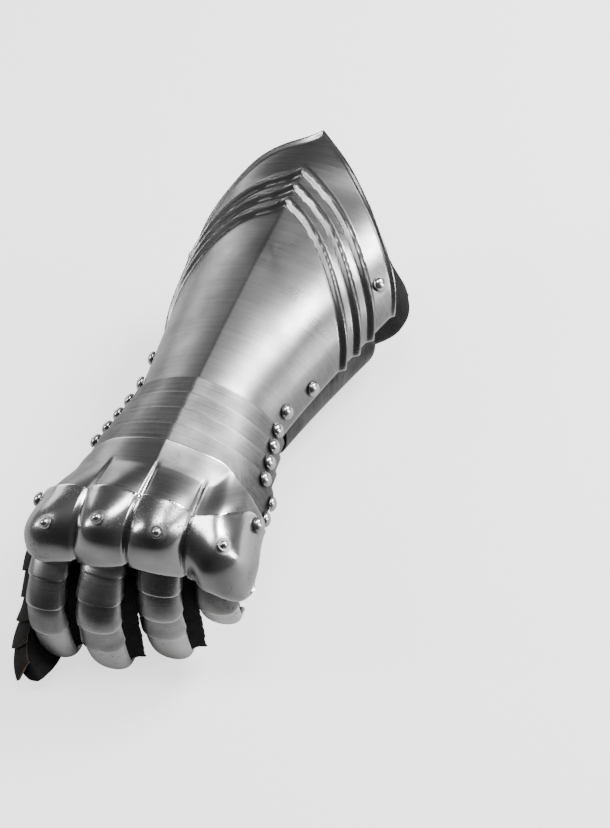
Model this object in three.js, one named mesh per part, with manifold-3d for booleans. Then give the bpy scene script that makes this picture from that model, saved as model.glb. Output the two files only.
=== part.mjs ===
// Left-hand armoured gauntlet lying knuckles up on a table.
// Millimetres, +Z up, fingers toward -Y, elbow toward +Y, thumb on the -X side.
// Sheet steel plates over a leather glove, held by dome-headed rivets.

import * as THREE from 'three';
import Module from 'manifold-3d';

const wasm = await Module();
wasm.setup();
const { Manifold, Mesh: SolidMesh } = wasm;

// Sheets, walls and clearances
const CUFF_SHEET = 1.2;
const PLATE_SHEET = 1.0;
const LAME_SHEET = 0.8;
const LEATHER = 2.0;
const SCALE_LEATHER = 1.3;
const CLEARANCE = 0.35;

// Wrist and cuff
const WRIST_HALF_OUTER = 39;
const WRIST_HALF_THUMB = 43;
const CUFF_HALF_OUTER = 67;
const CUFF_HALF_THUMB = 55;
const CUFF_SIDE = 99;
const CUFF_TIP = 185;
const CUFF_OUTER_EDGE = 0.9;
const FLARE = 1.15;
const AXIS_Z = 52;
const AXIS_DROP = 3;
const RIDGE_WRIST_Z = 91.6;
const RIDGE_TIP_Z = 99;
const RIDGE_LEAN = 4.6;
const ROOF_RISE = 3;
const ROOF_HALF = 32;
const ARCH_ANGLE = THREE.MathUtils.degToRad(97);

// Flutes along the rear edge of the cuff
const FLUTE_FIRST = 20;
const FLUTE_PITCH = 12;
const FLUTE_COUNT = 3;
const FLUTE_WIDTH = 7.2;
const FLUTE_CROWN = 3.2;
const FLUTE_HEIGHT = 2.6;
const FLUTE_PEAK = 14;
const FLUTE_PEAK_SPREAD = 0.12;
const RIM_TURN = 1.4;
const RIM_WIDTH = 2.5;
const BORDER = 9;

// Wrist lames
const LAME_COUNT = 4;
const LAME_PITCH = 10.2;
const LAME_OVERLAP = 4.5;
const LAST_LAME_WING = 20;
const LAME_EDGE = 0.93;
const LAST_LAME_EDGE = 1.02;

// Back of the hand and knuckles
const BACK_LENGTH = 75;
const KNUCKLE_HALF_OUTER = 51;
const KNUCKLE_HALF_THUMB = 56;
const THUMB_SQUARENESS = 0.3;
const BACK_REAR = LAME_COUNT * LAME_PITCH;
const BACK_OVERLAP = 5;
const KNUCKLE_SIDE_RISE = 17;
const BACK_SIDE_SWEEP = 12;
const CREASE_START = 52;
const CREASE_DEPTH = 3.0;
const KNUCKLE_HEIGHT = 6.5;
const KNUCKLE_LIP = 2.5;
const BAY_EDGES = [-0.8, -0.286, 0.012, 0.325, 0.85];
const KNUCKLE_REACH = 28;
const KNUCKLE_FRONT_Z = 71.5;
const KNUCKLE_DROP = 29;
const KNUCKLE_TURN = THREE.MathUtils.degToRad(87.3);

// Fingers, as the dorsal line of each
const FINGER_DEPTH = 8.8;
const FINGER_LEATHER_DEPTH = 7.5;
const FOLDED_PALM = 2.8;
const FINGER_ROOT = 14;
const FINGER_LAP_START = 8;
const FINGER_OVERLAP = 4.5;
const FINGER_FLARE = (LAME_SHEET + CLEARANCE) * 1.4;
const FINGER_CORNER = 4;
const CORNER_START = 0.6;
const TIP_CORNER = 9;
const TIP_TAPER = 0.86;
const FINGER_WRAP = THREE.MathUtils.degToRad(82);
const LEATHER_GAP = 0.75;
const TIP_RADIUS = 13;
const TIP_TURNS = [Math.PI / 6, Math.PI / 3, Math.PI / 2];
const TIP_FOLD = 1.7;
const TIP_LIFT = 1;
const TIP_BARE = 6;

// Thumb
const THUMB_HALF = 9;
const THUMB_DEPTH = 8;
const THUMB_SLIM = 0.66;
const THUMB_FLAT = 0.43;
const SCALE_COUNT = 5;
const SCALE_START = 40.4;
const SCALE_PITCH = 12.5;
const SCALE_OVERLAP = 4.5;
const SCALE_ROUND = 4;
const SCALE_FLARE = (SCALE_LEATHER + CLEARANCE) * 1.35;
const SCALE_WRAP = THREE.MathUtils.degToRad(72);

// Leather glove
const INSET_HAND = 2.4;
const INSET_CUFF = 5;
const GLOVE_HALF = 68;
const GLOVE_SAG = 8;
const GLOVE_FRONT = 80;
const GLOVE_FRONT_SLANT = 4;
const GLOVE_SIDE = 118;
const GLOVE_BELLY = 41.3;
const GLOVE_PEAK = 60;
const GLOVE_TOP_PEAK = 32;
const GLOVE_BULGE = 11;
const GLOVE_BULGE_START = 94;
const GLOVE_BULGE_END = 116;
const GLOVE_CLOSE = 6;
const GLOVE_CLOSE_LENGTH = 16;
const PALM_DEPTH = 31;
const UNDER_DEPTH_WRIST = 29;
const UNDER_DEPTH_REAR = 42;
const UNDER_FULLNESS = 0.72;
const UNDER_FRONT = 8;
const UNDER_REAR = 86;

// Rivets
const RIVET_SHARE = 0.74;
const CUFF_REAR_SHARES = { thumb: -0.75, outer: 0.63 };
const RIVET_BORDER = 11;
const CUFF_MID_SHARE = 1.08;
const CUFF_MID_Y = 32;
const CUFF_FRONT_Y = 11;
const WING_SHARE = 0.96;
const WING_REAR = 3.8;
const WING_FRONT = -5.7;
const RIVET_HEAD = 3.9;
const RIVET_DOME = 2.6;
const RIVET_SHANK = 1.5;
const RIVET_TAIL = 2.1;
const TAIL_HEIGHT = 0.5;
const RIVET_SIDES = 8;
const BORE_LENGTH = 20;
const HEAD_SEAT = 0.6;
const STUD_SEAT = 0.95;
const STUD_HEAD = 2.1;
const STUD_DOME = 1.6;
const STUD_COLLAR = 3.1;
const STUD_PLACES = [
  { across: 0.71, along: 0.52 },
  { across: 0.55, along: 0.61 },
  { across: 0.52, along: 0.59 },
  { across: 0.34, along: 0.6 },
];

const COLOURS = {
  brightSteel: { color: 0xb9bbbd, roughness: 0.3, metalness: 1.0 },
  satinSteel: { color: 0x8d8f92, roughness: 0.42, metalness: 1.0 },
  darkSteel: { color: 0x5d5a57, roughness: 0.5, metalness: 1.0 },
  rivetSteel: { color: 0xc6c7c8, roughness: 0.22, metalness: 1.0 },
  blackLeather: { color: 0x17171a, roughness: 0.85, metalness: 0.0 },
  brownLeather: { color: 0x4a3a2e, roughness: 0.8, metalness: 0.0 },
};

const gauntlet = new THREE.Group();
gauntlet.name = 'gauntlet';
const hand = new THREE.Group();
hand.name = 'hand_frame';
gauntlet.add(hand);

const clamp01 = (value) => Math.min(1, Math.max(0, value));
const mix = (from, to, share) => from + (to - from) * share;
const ease = (share) => {
  const c = clamp01(share);
  return c * c * (3 - 2 * c);
};

// Smooth curve through rows of [place, value], held flat past its ends
function through(rows) {
  const last = rows.length - 1;
  const slope = (i) => {
    const a = rows[Math.max(0, i - 1)];
    const b = rows[Math.min(last, i + 1)];
    return (b[1] - a[1]) / (b[0] - a[0]);
  };
  return (place) => {
    if (place <= rows[0][0]) return rows[0][1];
    if (place >= rows[last][0]) return rows[last][1];
    let i = 0;
    while (place > rows[i + 1][0]) i += 1;
    const span = rows[i + 1][0] - rows[i][0];
    const t = (place - rows[i][0]) / span;
    const t2 = t * t;
    const t3 = t2 * t;
    return (2 * t3 - 3 * t2 + 1) * rows[i][1] + (t3 - 2 * t2 + t) * span * slope(i)
      + (3 * t2 - 2 * t3) * rows[i + 1][1] + (t3 - t2) * span * slope(i + 1);
  };
}

const steps = (from, to, count) => (
  Array.from({ length: count + 1 }, (unused, i) => mix(from, to, i / count))
);

function addMesh(name, geometry, look) {
  geometry.computeVertexNormals();
  const mesh = new THREE.Mesh(geometry, new THREE.MeshStandardMaterial(COLOURS[look]));
  mesh.name = name;
  hand.add(mesh);
  return mesh;
}

function indexed(points, faces) {
  const geometry = new THREE.BufferGeometry();
  geometry.setAttribute('position', new THREE.Float32BufferAttribute(points.flatMap((p) => p.toArray()), 3));
  geometry.setIndex(faces);
  return geometry;
}

// Outward normal of surface(u, v), where u runs to +X and v runs toward the elbow
function normalOf(surface, u, v, dv = 0.004) {
  const du = 0.004;
  const along = surface(u + du, v).sub(surface(u - du, v));
  const back = surface(u, v + dv).sub(surface(u, v - dv));
  return along.cross(back).normalize();
}

// Sheet of one thickness under surface(u, v), closed all round
function sheet(surface, columns, rows, thickness) {
  const outer = [];
  const inner = [];
  rows.forEach((v) => columns.forEach((u) => {
    const point = surface(u, v);
    outer.push(point);
    inner.push(point.clone().addScaledVector(normalOf(surface, u, v), -thickness));
  }));
  const width = columns.length;
  const depth = rows.length;
  const under = outer.length;
  const at = (i, j) => j * width + i;
  const faces = [];
  const quad = (a, b, c, d) => faces.push(a, b, c, a, c, d);
  for (let j = 0; j < depth - 1; j += 1) {
    for (let i = 0; i < width - 1; i += 1) {
      quad(at(i, j), at(i + 1, j), at(i + 1, j + 1), at(i, j + 1));
      quad(under + at(i, j), under + at(i, j + 1), under + at(i + 1, j + 1), under + at(i + 1, j));
    }
  }
  for (let i = 0; i < width - 1; i += 1) {
    const far = depth - 1;
    quad(at(i + 1, 0), at(i, 0), under + at(i, 0), under + at(i + 1, 0));
    quad(at(i, far), at(i + 1, far), under + at(i + 1, far), under + at(i, far));
  }
  for (let j = 0; j < depth - 1; j += 1) {
    const far = width - 1;
    quad(at(0, j), at(0, j + 1), under + at(0, j + 1), under + at(0, j));
    quad(at(far, j + 1), at(far, j), under + at(far, j), under + at(far, j + 1));
  }
  return indexed([...outer, ...inner], faces);
}

function toSolid(geometry) {
  return new Manifold(new SolidMesh({
    numProp: 3,
    vertProperties: new Float32Array(geometry.getAttribute('position').array),
    triVerts: new Uint32Array(geometry.getIndex().array),
  }));
}

function fromSolid(solid) {
  const mesh = solid.getMesh();
  const geometry = new THREE.BufferGeometry();
  const flat = new Float32Array((mesh.vertProperties.length / mesh.numProp) * 3);
  for (let i = 0; i < flat.length / 3; i += 1) {
    for (let k = 0; k < 3; k += 1) flat[i * 3 + k] = mesh.vertProperties[i * mesh.numProp + k];
  }
  geometry.setAttribute('position', new THREE.BufferAttribute(flat, 3));
  geometry.setIndex(Array.from(mesh.triVerts));
  return geometry;
}

// The arch that the cuff, wrist lames and back of the hand share

function halfWidth(y, side) {
  const wrist = side > 0 ? WRIST_HALF_OUTER : WRIST_HALF_THUMB;
  const cuff = side > 0 ? CUFF_HALF_OUTER : CUFF_HALF_THUMB;
  if (y >= 0) return mix(wrist, cuff, (y / CUFF_SIDE) ** FLARE);
  const knuckle = side > 0 ? KNUCKLE_HALF_OUTER : KNUCKLE_HALF_THUMB;
  return mix(wrist, knuckle, Math.min(1.2, -y / BACK_LENGTH));
}

const axisZ = (y) => AXIS_Z - AXIS_DROP * clamp01(y / CUFF_SIDE);
const crownZ = (y) => mix(RIDGE_WRIST_Z, RIDGE_TIP_Z, Math.max(0, y) / CUFF_TIP);
const leanX = (y) => RIDGE_LEAN * (Math.max(0, y) / CUFF_TIP) ** 2;
const roofShare = (y) => 1 - ease((-y - BACK_REAR) / (BACK_LENGTH - BACK_REAR));

// Length along the arm over which the slope of the arch is taken
const NORMAL_SPAN = 4;

// share runs from -1 at the thumb-side edge to 1 at the outer edge
function archPoint(share, y) {
  const angle = share * ARCH_ANGLE;
  const x = halfWidth(y, share) * Math.sin(angle);
  const square = share < 0 ? THUMB_SQUARENESS * ease(-y / BACK_LENGTH) : 0;
  const rise = Math.sign(Math.cos(angle)) * Math.abs(Math.cos(angle)) ** (1 - square);
  const roof = ROOF_RISE * roofShare(y) * Math.max(0, 1 - Math.abs(x) / ROOF_HALF) ** 2;
  const lift = (crownZ(y) - ROOF_RISE * roofShare(y) - axisZ(y)) * rise;
  return new THREE.Vector3(leanX(y) + x, y, axisZ(y) + lift + roof);
}

function archNormal(share, y) {
  return normalOf(archPoint, share, y, NORMAL_SPAN);
}

const raised = (share, y, height) => archPoint(share, y).addScaledVector(archNormal(share, y), height);

// Rivets and the holes that they pass through

const holes = new Map();
const plates = new Map();

function keepPlate(name, geometry, look) {
  plates.set(name, { geometry, look });
}

function rivet(name, place, normal, grip, pierced, head = RIVET_HEAD, dome = RIVET_DOME, collar = 0) {
  const seat = collar > 0 ? STUD_SEAT : HEAD_SEAT;
  const tail = -grip - 1.5 * CLEARANCE;
  const outline = [
    [0, tail - TAIL_HEIGHT],
    [RIVET_TAIL, tail - TAIL_HEIGHT],
    [RIVET_SHANK, tail],
    [RIVET_SHANK, seat],
  ];
  if (collar > 0) outline.push([collar, seat], [collar, seat + 0.9], [head, seat + 0.9]);
  else outline.push([head, seat]);
  const lift = collar > 0 ? seat + 0.9 : seat;
  outline.push([head * 0.8, lift + dome * 0.62]);
  outline.push([0, lift + dome]);
  const points = [];
  outline.forEach(([r, z]) => {
    if (r === 0) points.push(new THREE.Vector3(0, 0, z));
    else {
      for (let k = 0; k < RIVET_SIDES; k += 1) {
        const a = (k / RIVET_SIDES) * Math.PI * 2;
        points.push(new THREE.Vector3(r * Math.cos(a), r * Math.sin(a), z));
      }
    }
  });
  const faces = [];
  const rings = outline.length - 2;
  const ring = (i, k) => 1 + i * RIVET_SIDES + (k % RIVET_SIDES);
  for (let k = 0; k < RIVET_SIDES; k += 1) {
    faces.push(0, ring(0, k + 1), ring(0, k));
    for (let i = 0; i < rings - 1; i += 1) {
      faces.push(ring(i, k), ring(i, k + 1), ring(i + 1, k + 1));
      faces.push(ring(i, k), ring(i + 1, k + 1), ring(i + 1, k));
    }
    faces.push(points.length - 1, ring(rings - 1, k), ring(rings - 1, k + 1));
  }
  const turn = new THREE.Quaternion().setFromUnitVectors(new THREE.Vector3(0, 0, 1), normal);
  const geometry = indexed(points, faces);
  const pin = addMesh(name, geometry, 'rivetSteel');
  pin.position.copy(place);
  pin.quaternion.copy(turn);
  const bore = Manifold.cylinder(BORE_LENGTH, RIVET_SHANK + CLEARANCE, RIVET_SHANK + CLEARANCE, RIVET_SIDES, true);
  const matrix = new THREE.Matrix4().compose(place, turn, new THREE.Vector3(1, 1, 1));
  const cut = bore.transform(matrix.toArray());
  pierced.forEach((plate) => {
    if (!holes.has(plate)) holes.set(plate, []);
    holes.get(plate).push(cut);
  });
}

// Cuff plate

// Rear edge on each side of its tip: share of the arch, and share of the way up to the tip
const REAR_EDGE = [
  { thumb: 0, outer: 0, rise: 1 },
  { thumb: 0.1, outer: 0.06, rise: 0.895 },
  { thumb: 0.26, outer: 0.128, rise: 0.785 },
  { thumb: 0.392, outer: 0.222, rise: 0.64 },
  { thumb: 0.531, outer: 0.338, rise: 0.475 },
  { thumb: 0.67, outer: 0.458, rise: 0.325 },
  { thumb: 0.745, outer: 0.545, rise: 0.235 },
  { thumb: 0.855, outer: 0.722, rise: 0.1 },
  { thumb: 0.96, outer: 0.88, rise: 0.01 },
  { thumb: 1, outer: 1, rise: 0 },
];
const edgeOn = (side) => through(REAR_EDGE.map((row) => [row[side], mix(CUFF_SIDE, CUFF_TIP, row.rise)]));
const thumbEdge = edgeOn('thumb');
const outerEdge = edgeOn('outer');
const rearEdge = (share) => (share < 0 ? thumbEdge(-share) : outerEdge(share));

const flutePeak = (share) => FLUTE_PEAK * Math.exp(-Math.abs(share) / FLUTE_PEAK_SPREAD);

const fluteRows = [];
for (let k = FLUTE_COUNT - 1; k >= 0; k -= 1) {
  const crest = FLUTE_FIRST + k * FLUTE_PITCH;
  fluteRows.push({ back: crest + FLUTE_WIDTH / 2, height: 0 });
  fluteRows.push({ back: crest + FLUTE_CROWN / 2, height: FLUTE_HEIGHT });
  fluteRows.push({ back: crest - FLUTE_CROWN / 2, height: FLUTE_HEIGHT });
  fluteRows.push({ back: crest - FLUTE_WIDTH / 2, height: 0 });
}
fluteRows.push({ back: BORDER, height: 0 });
fluteRows.push({ back: RIM_WIDTH, height: 0 });
fluteRows.push({ back: 0, height: RIM_TURN });

const BODY_ROWS = 5;
const cuffRows = BODY_ROWS + fluteRows.length - 1;

function cuffSurface(share, row) {
  const edge = rearEdge(share);
  const behind = (back) => back + flutePeak(share) * Math.min(1, back / FLUTE_FIRST);
  if (row <= BODY_ROWS) {
    const start = edge - behind(fluteRows[0].back);
    if (row < 1) return archPoint(share, mix(-LAME_OVERLAP, 0, row));
    return archPoint(share, mix(0, start, (row - 1) / (BODY_ROWS - 1)));
  }
  const i = Math.min(fluteRows.length - 2, Math.floor(row - BODY_ROWS));
  const part = row - BODY_ROWS - i;
  const back = behind(mix(fluteRows[i].back, fluteRows[i + 1].back, part));
  const height = mix(fluteRows[i].height, fluteRows[i + 1].height, part);
  return raised(share, edge - back, height);
}

const cuffColumns = [...steps(-1, 0, 9), ...steps(0, CUFF_OUTER_EDGE, 9).slice(1)];
keepPlate('cuff_plate', sheet(cuffSurface, cuffColumns, steps(0, cuffRows, cuffRows), CUFF_SHEET), 'satinSteel');

// Under plate, which closes the inside of the wrist below the cuff

const underDepth = (y) => mix(UNDER_DEPTH_WRIST, UNDER_DEPTH_REAR, clamp01(y / UNDER_REAR));
const UNDER_START = THREE.MathUtils.degToRad(76);

function underPoint(turn, y) {
  const inset = CUFF_SHEET + 1.5 * CLEARANCE;
  const side = Math.sin(turn) >= 0 ? 1 : -1;
  const width = halfWidth(y, side) - inset;
  const height = Math.cos(turn) > 0 ? crownZ(y) - ROOF_RISE - axisZ(y) - inset : underDepth(y);
  const full = Math.cos(turn) < 0 && side > 0 ? UNDER_FULLNESS : 1;
  const across = side * Math.abs(Math.sin(turn)) ** full;
  const down = Math.sign(Math.cos(turn)) * Math.abs(Math.cos(turn)) ** full;
  return new THREE.Vector3(leanX(y) + width * across, y, axisZ(y) + height * down);
}

function underSurface(u, v) {
  const turn = mix(2 * Math.PI - UNDER_START, UNDER_START, (1 - u) / 2);
  const corner = 10 * Math.max(0, Math.abs(u) - 0.8) / 0.2;
  return underPoint(turn, mix(UNDER_FRONT, UNDER_REAR - corner, v));
}

keepPlate('under_plate', sheet(underSurface, steps(-1, 1, 16), steps(0, 1, 3), PLATE_SHEET), 'darkSteel');

// Wrist lames, each with its rear edge over its neighbour toward the cuff

const lameWidth = LAME_PITCH + LAME_OVERLAP;
const lameRise = (PLATE_SHEET + CLEARANCE) * (lameWidth / LAME_PITCH);

// Height of a plate over the arch, which falls from its rear edge to tuck under the next
const lapHeight = (rear, y) => lameRise * clamp01((y - rear + lameWidth) / lameWidth);

function lameSurface(index) {
  const rear = -index * LAME_PITCH;
  const wing = index === LAME_COUNT - 1 ? LAST_LAME_WING : 0;
  return (share, v) => {
    const sweep = wing * ease((share - 0.4) / 0.25);
    const front = rear - lameWidth - sweep;
    const y = mix(front, rear, v);
    return raised(share, y, lapHeight(rear, y));
  };
}

for (let k = 0; k < LAME_COUNT; k += 1) {
  const columns = steps(-LAME_EDGE, LAME_EDGE, 16);
  if (k === LAME_COUNT - 1) columns.push(LAST_LAME_EDGE);
  keepPlate(`wrist_lame_${k + 1}`, sheet(lameSurface(k), columns, [0, 0.5, 1], PLATE_SHEET), 'satinSteel');
}

// Back-of-hand plate and knuckle plate share the creases between the fingers

function swellShape(share) {
  const s = Math.min(BAY_EDGES[4], Math.max(BAY_EDGES[0], share));
  let bay = 0;
  while (bay < 3 && s > BAY_EDGES[bay + 1]) bay += 1;
  const t = (s - BAY_EDGES[bay]) / (BAY_EDGES[bay + 1] - BAY_EDGES[bay]);
  const outerHalf = (bay === 0 && t < 0.5) || (bay === 3 && t > 0.5);
  const crown = 1 - Math.abs(2 * t - 1) ** 2;
  return outerHalf ? mix(0.45, 1, crown) : crown;
}

const bayColumns = [];
for (let bay = 0; bay < 4; bay += 1) {
  bayColumns.push(...steps(BAY_EDGES[bay], BAY_EDGES[bay + 1], 6).slice(bay === 0 ? 0 : 1));
}

const knuckleRear = (share) => BACK_LENGTH - KNUCKLE_SIDE_RISE * ease((share - 0.33) / 0.35);

function backSurface(share, v) {
  const side = ease((Math.abs(share) - 0.36) / 0.4);
  const rear = -BACK_REAR - BACK_SIDE_SWEEP * side;
  const front = knuckleRear(share) + BACK_OVERLAP;
  const y = mix(-front, rear, v);
  const lap = lapHeight(-BACK_REAR, y);
  const start = CREASE_START - (BACK_LENGTH - knuckleRear(share));
  const swell = CREASE_DEPTH * ease((-y - start) / (BACK_LENGTH - CREASE_START));
  const clear = lameRise * ease((share - 0.36) / 0.12);
  return raised(share, y, Math.max(lap, clear) + swell * swellShape(share));
}

keepPlate('back_plate', sheet(backSurface, bayColumns, steps(0, 1, 5), PLATE_SHEET), 'satinSteel');

// Front edge of the knuckle plate, from the thumb side to the outer side: how far it reaches
// forward, drops and stands from the middle, as shares of the knuckle's own sizes
const FRONT_EDGE = [
  { share: -0.8, reach: 1, drop: 0.224, across: -0.857 },
  { share: -0.463, reach: 0.973, drop: 0.207, across: -0.714 },
  { share: -0.286, reach: 0.95, drop: 0.138, across: -0.473 },
  { share: 0.012, reach: 0.88, drop: 0, across: 0.01 },
  { share: 0.169, reach: 0.768, drop: 0.103, across: 0.269 },
  { share: 0.325, reach: 0.66, drop: 0.31, across: 0.529 },
  { share: 0.54, reach: 0.653, drop: 0.397, across: 0.814 },
  { share: 0.72, reach: 0.581, drop: 0.69, across: 0.98 },
  { share: 0.85, reach: 0.5, drop: 1, across: 1.02 },
];
const knuckleHalf = (share) => (share < 0 ? KNUCKLE_HALF_THUMB : KNUCKLE_HALF_OUTER);
const frontReach = through(FRONT_EDGE.map((row) => [row.share, row.reach * KNUCKLE_REACH]));
const frontDrop = through(FRONT_EDGE.map((row) => [row.share, row.drop * KNUCKLE_DROP]));
const frontWidth = through(FRONT_EDGE.map((row) => [row.share, row.across * knuckleHalf(row.share)]));

function knuckleBase(share, v) {
  const turn = (1 - v) * KNUCKLE_TURN;
  const rear = archPoint(share, -knuckleRear(share));
  const front = (frontReach(share) + BACK_LENGTH - knuckleRear(share)) / Math.sin(KNUCKLE_TURN);
  const low = KNUCKLE_FRONT_Z - frontDrop(share);
  return new THREE.Vector3(
    mix(rear.x, frontWidth(share), 1 - Math.cos(turn)),
    rear.y - front * Math.sin(turn),
    mix(low, rear.z, Math.cos(turn)),
  );
}

function knuckleSurface(share, v) {
  const clear = lameRise * ease((share - 0.36) / 0.12);
  const lap = PLATE_SHEET + 3 * CLEARANCE + clear;
  const top = v > 0.5 ? CREASE_DEPTH : KNUCKLE_LIP;
  const swell = mix(KNUCKLE_HEIGHT, top, ease(Math.abs(2 * v - 1) * 1.1)) * swellShape(share);
  return knuckleBase(share, v).addScaledVector(normalOf(knuckleBase, share, v), lap + swell);
}

keepPlate('knuckle_plate', sheet(knuckleSurface, bayColumns, steps(0, 1, 7), PLATE_SHEET), 'brightSteel');

// Limbs: a dorsal line with frames that finger and thumb pieces wrap round

function limb(points, facing) {
  const curve = new THREE.CatmullRomCurve3(points, false, 'centripetal');
  const length = curve.getLength();
  return {
    length,
    frame(distance) {
      const share = clamp01(distance / length);
      const tangent = curve.getTangentAt(share);
      const out = facing(tangent, share).normalize();
      const place = curve.getPointAt(share).addScaledVector(tangent, distance - share * length);
      return { place, out, side: out.clone().cross(tangent).normalize(), tangent };
    },
  };
}

function wrapPoint(frame, half, depth, turn, lift) {
  return frame.place.clone()
    .addScaledVector(frame.out, -depth + (depth + lift) * Math.cos(turn))
    .addScaledVector(frame.side, (half + lift) * Math.sin(turn));
}

// A lame that wraps the dorsal side between two distances, distal edge lifted over the next
function limbLame(path, lame) {
  return (u, v) => {
    const round = Math.max(0, (Math.abs(u) - CORNER_START) / (1 - CORNER_START));
    const cut = lame.corner * (1 - Math.sqrt(Math.max(0, 1 - round * round)));
    const distance = mix(lame.to - cut * (1 - v), lame.from, v);
    const half = lame.half * mix(lame.endShare, 1, ease(v * 1.6));
    return wrapPoint(path.frame(distance), half, FINGER_DEPTH, u * FINGER_WRAP, lame.rise * (1 - v));
  };
}

// Closed body through rings of points, fanned shut at both ends
function loft(rings) {
  const sides = rings[0].length;
  const points = rings.flat();
  const faces = [];
  const id = (r, k) => r * sides + (k % sides);
  for (let r = 0; r < rings.length - 1; r += 1) {
    for (let k = 0; k < sides; k += 1) {
      faces.push(id(r, k), id(r, k + 1), id(r + 1, k + 1));
      faces.push(id(r, k), id(r + 1, k + 1), id(r + 1, k));
    }
  }
  const middle = (ring) => ring.reduce((sum, p) => sum.add(p), new THREE.Vector3()).divideScalar(sides);
  const last = rings.length - 1;
  const start = points.push(middle(rings[0])) - 1;
  const end = points.push(middle(rings[last])) - 1;
  for (let k = 0; k < sides; k += 1) {
    faces.push(start, id(0, k + 1), id(0, k));
    faces.push(end, id(last, k), id(last, k + 1));
  }
  return toSolid(indexed(points, faces));
}

const TUBE_SIDES = 8;

// Rings of a glove finger or thumb round its path, drawn in by an inset
function tubeRings(path, distances, sizes, inset) {
  return distances.map((distance) => {
    const frame = path.frame(distance);
    const { half, back, palm } = sizes(distance);
    return Array.from({ length: TUBE_SIDES }, (unused, k) => {
      const a = (k / TUBE_SIDES) * Math.PI * 2;
      const reach = Math.cos(a) > 0 ? back - inset : palm - inset;
      return frame.place.clone()
        .addScaledVector(frame.out, -path.core + reach * Math.cos(a))
        .addScaledVector(frame.side, -(half - inset) * Math.sin(a));
    });
  });
}

function addTube(name, path, root, sizes) {
  const outer = loft(tubeRings(path, [root, ...steps(0, path.length, 5)], sizes, 0));
  const stop = path.length - LEATHER;
  const inner = loft(tubeRings(path, [root - 6, ...steps(0, stop, 5)], sizes, LEATHER));
  addMesh(name, fromSolid(outer.subtract(inner).subtract(gloveEnvelope)), 'blackLeather');
  return loft(tubeRings(path, [root - 6, root + 20], sizes, LEATHER));
}

const FINGER_CORE = LAME_SHEET + LEATHER_GAP + FINGER_LEATHER_DEPTH;

// Glove: one hand-and-cuff bag, closed at the knuckles, open at the elbow

const GLOVE_SIDES = 20;
const gloveInset = (y) => mix(INSET_HAND, INSET_CUFF, ease((y + 3) / 8));
const gloveBelly = through([
  [-BACK_LENGTH, PALM_DEPTH],
  [0, UNDER_DEPTH_WRIST],
  [UNDER_REAR + 6, GLOVE_BELLY],
  [GLOVE_SIDE, AXIS_Z + GLOVE_SAG],
]);

function glovePoint(turn, y, inset, floor) {
  const side = Math.sin(turn) >= 0 ? 1 : -1;
  const within = gloveInset(y) + inset;
  const rise = Math.cos(turn) > 0
    ? crownZ(y) - ROOF_RISE - axisZ(y) - within
    : gloveBelly(y) - within;
  const bulge = GLOVE_BULGE * ease((y - GLOVE_BULGE_START) / (GLOVE_BULGE_END - GLOVE_BULGE_START))
    - GLOVE_CLOSE * ease((y - GLOVE_BULGE_END) / GLOVE_CLOSE_LENGTH + 0.4);
  const half = Math.min(halfWidth(y, side), GLOVE_HALF) - within + bulge * ease(0.5 - 2 * Math.cos(turn));
  const x = leanX(y) + half * Math.sin(turn);
  return new THREE.Vector3(x, y, Math.max(floor, axisZ(y) + rise * Math.cos(turn)));
}

const frontCap = (turn) => -GLOVE_FRONT + GLOVE_FRONT_SLANT * Math.sin(turn);
function rearRim(turn) {
  const upright = Math.cos(turn);
  if (upright > 0) return GLOVE_SIDE + GLOVE_TOP_PEAK * upright ** 2;
  return GLOVE_SIDE + GLOVE_PEAK * (-upright) ** 1.3;
}

function gloveRings(shares, inset, floor, frontShift) {
  return shares.map((share) => Array.from({ length: GLOVE_SIDES }, (unused, k) => {
    const turn = Math.PI * 2 * (k / GLOVE_SIDES);
    const front = frontCap(turn) + frontShift;
    return glovePoint(turn, mix(front, rearRim(turn), share), inset, floor);
  }));
}

const GLOVE_SHARES = [0, 0.18, 0.36, 0.46, 0.58, 0.72, 0.86, 1];
const gloveOuter = loft(gloveRings(GLOVE_SHARES, 0, 0, 0));
const gloveInner = loft(gloveRings([...GLOVE_SHARES, 1.1], LEATHER, LEATHER, LEATHER));
const gloveEnvelope = loft(gloveRings(GLOVE_SHARES, -CLEARANCE, -1, -CLEARANCE));
const gloveHollows = [gloveInner];

// Dorsal line of a finger, as shares of how far it reaches forward and drops
const FINGER_SHAPE = [
  { forward: -0.42, down: -0.07 },
  { forward: 0, down: 0 },
  { forward: 0.42, down: 0.13 },
  { forward: 0.79, down: 0.31 },
  { forward: 0.95, down: 0.55 },
  { forward: 1, down: 0.76 },
];

// Root of each finger from the middle of the knuckles, and the table under its tip
const FINGERS = [
  { name: 'index', across: -0.759, ahead: 29, below: 7.2, reach: 23, lift: 0.3, half: 10.2, edges: [12, 27, 43] },
  { name: 'middle', across: -0.25, ahead: 25.5, below: 2.5, reach: 25.5, lift: 0.3, half: 11.5, edges: [11, 25, 40, 54] },
  { name: 'ring', across: 0.265, ahead: 22, below: 2.5, reach: 15.5, lift: 0.3, half: 11.5, edges: [14, 29, 43] },
  { name: 'little', across: 0.775, ahead: 19, below: 9.5, reach: 6, lift: 25, half: 11, edges: [14] },
].map((row) => ({
  ...row,
  x: row.across * knuckleHalf(row.across),
  y: -BACK_LENGTH - row.ahead,
  z: KNUCKLE_FRONT_Z - row.below,
  drop: KNUCKLE_FRONT_Z - row.below - row.lift,
}));

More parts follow.
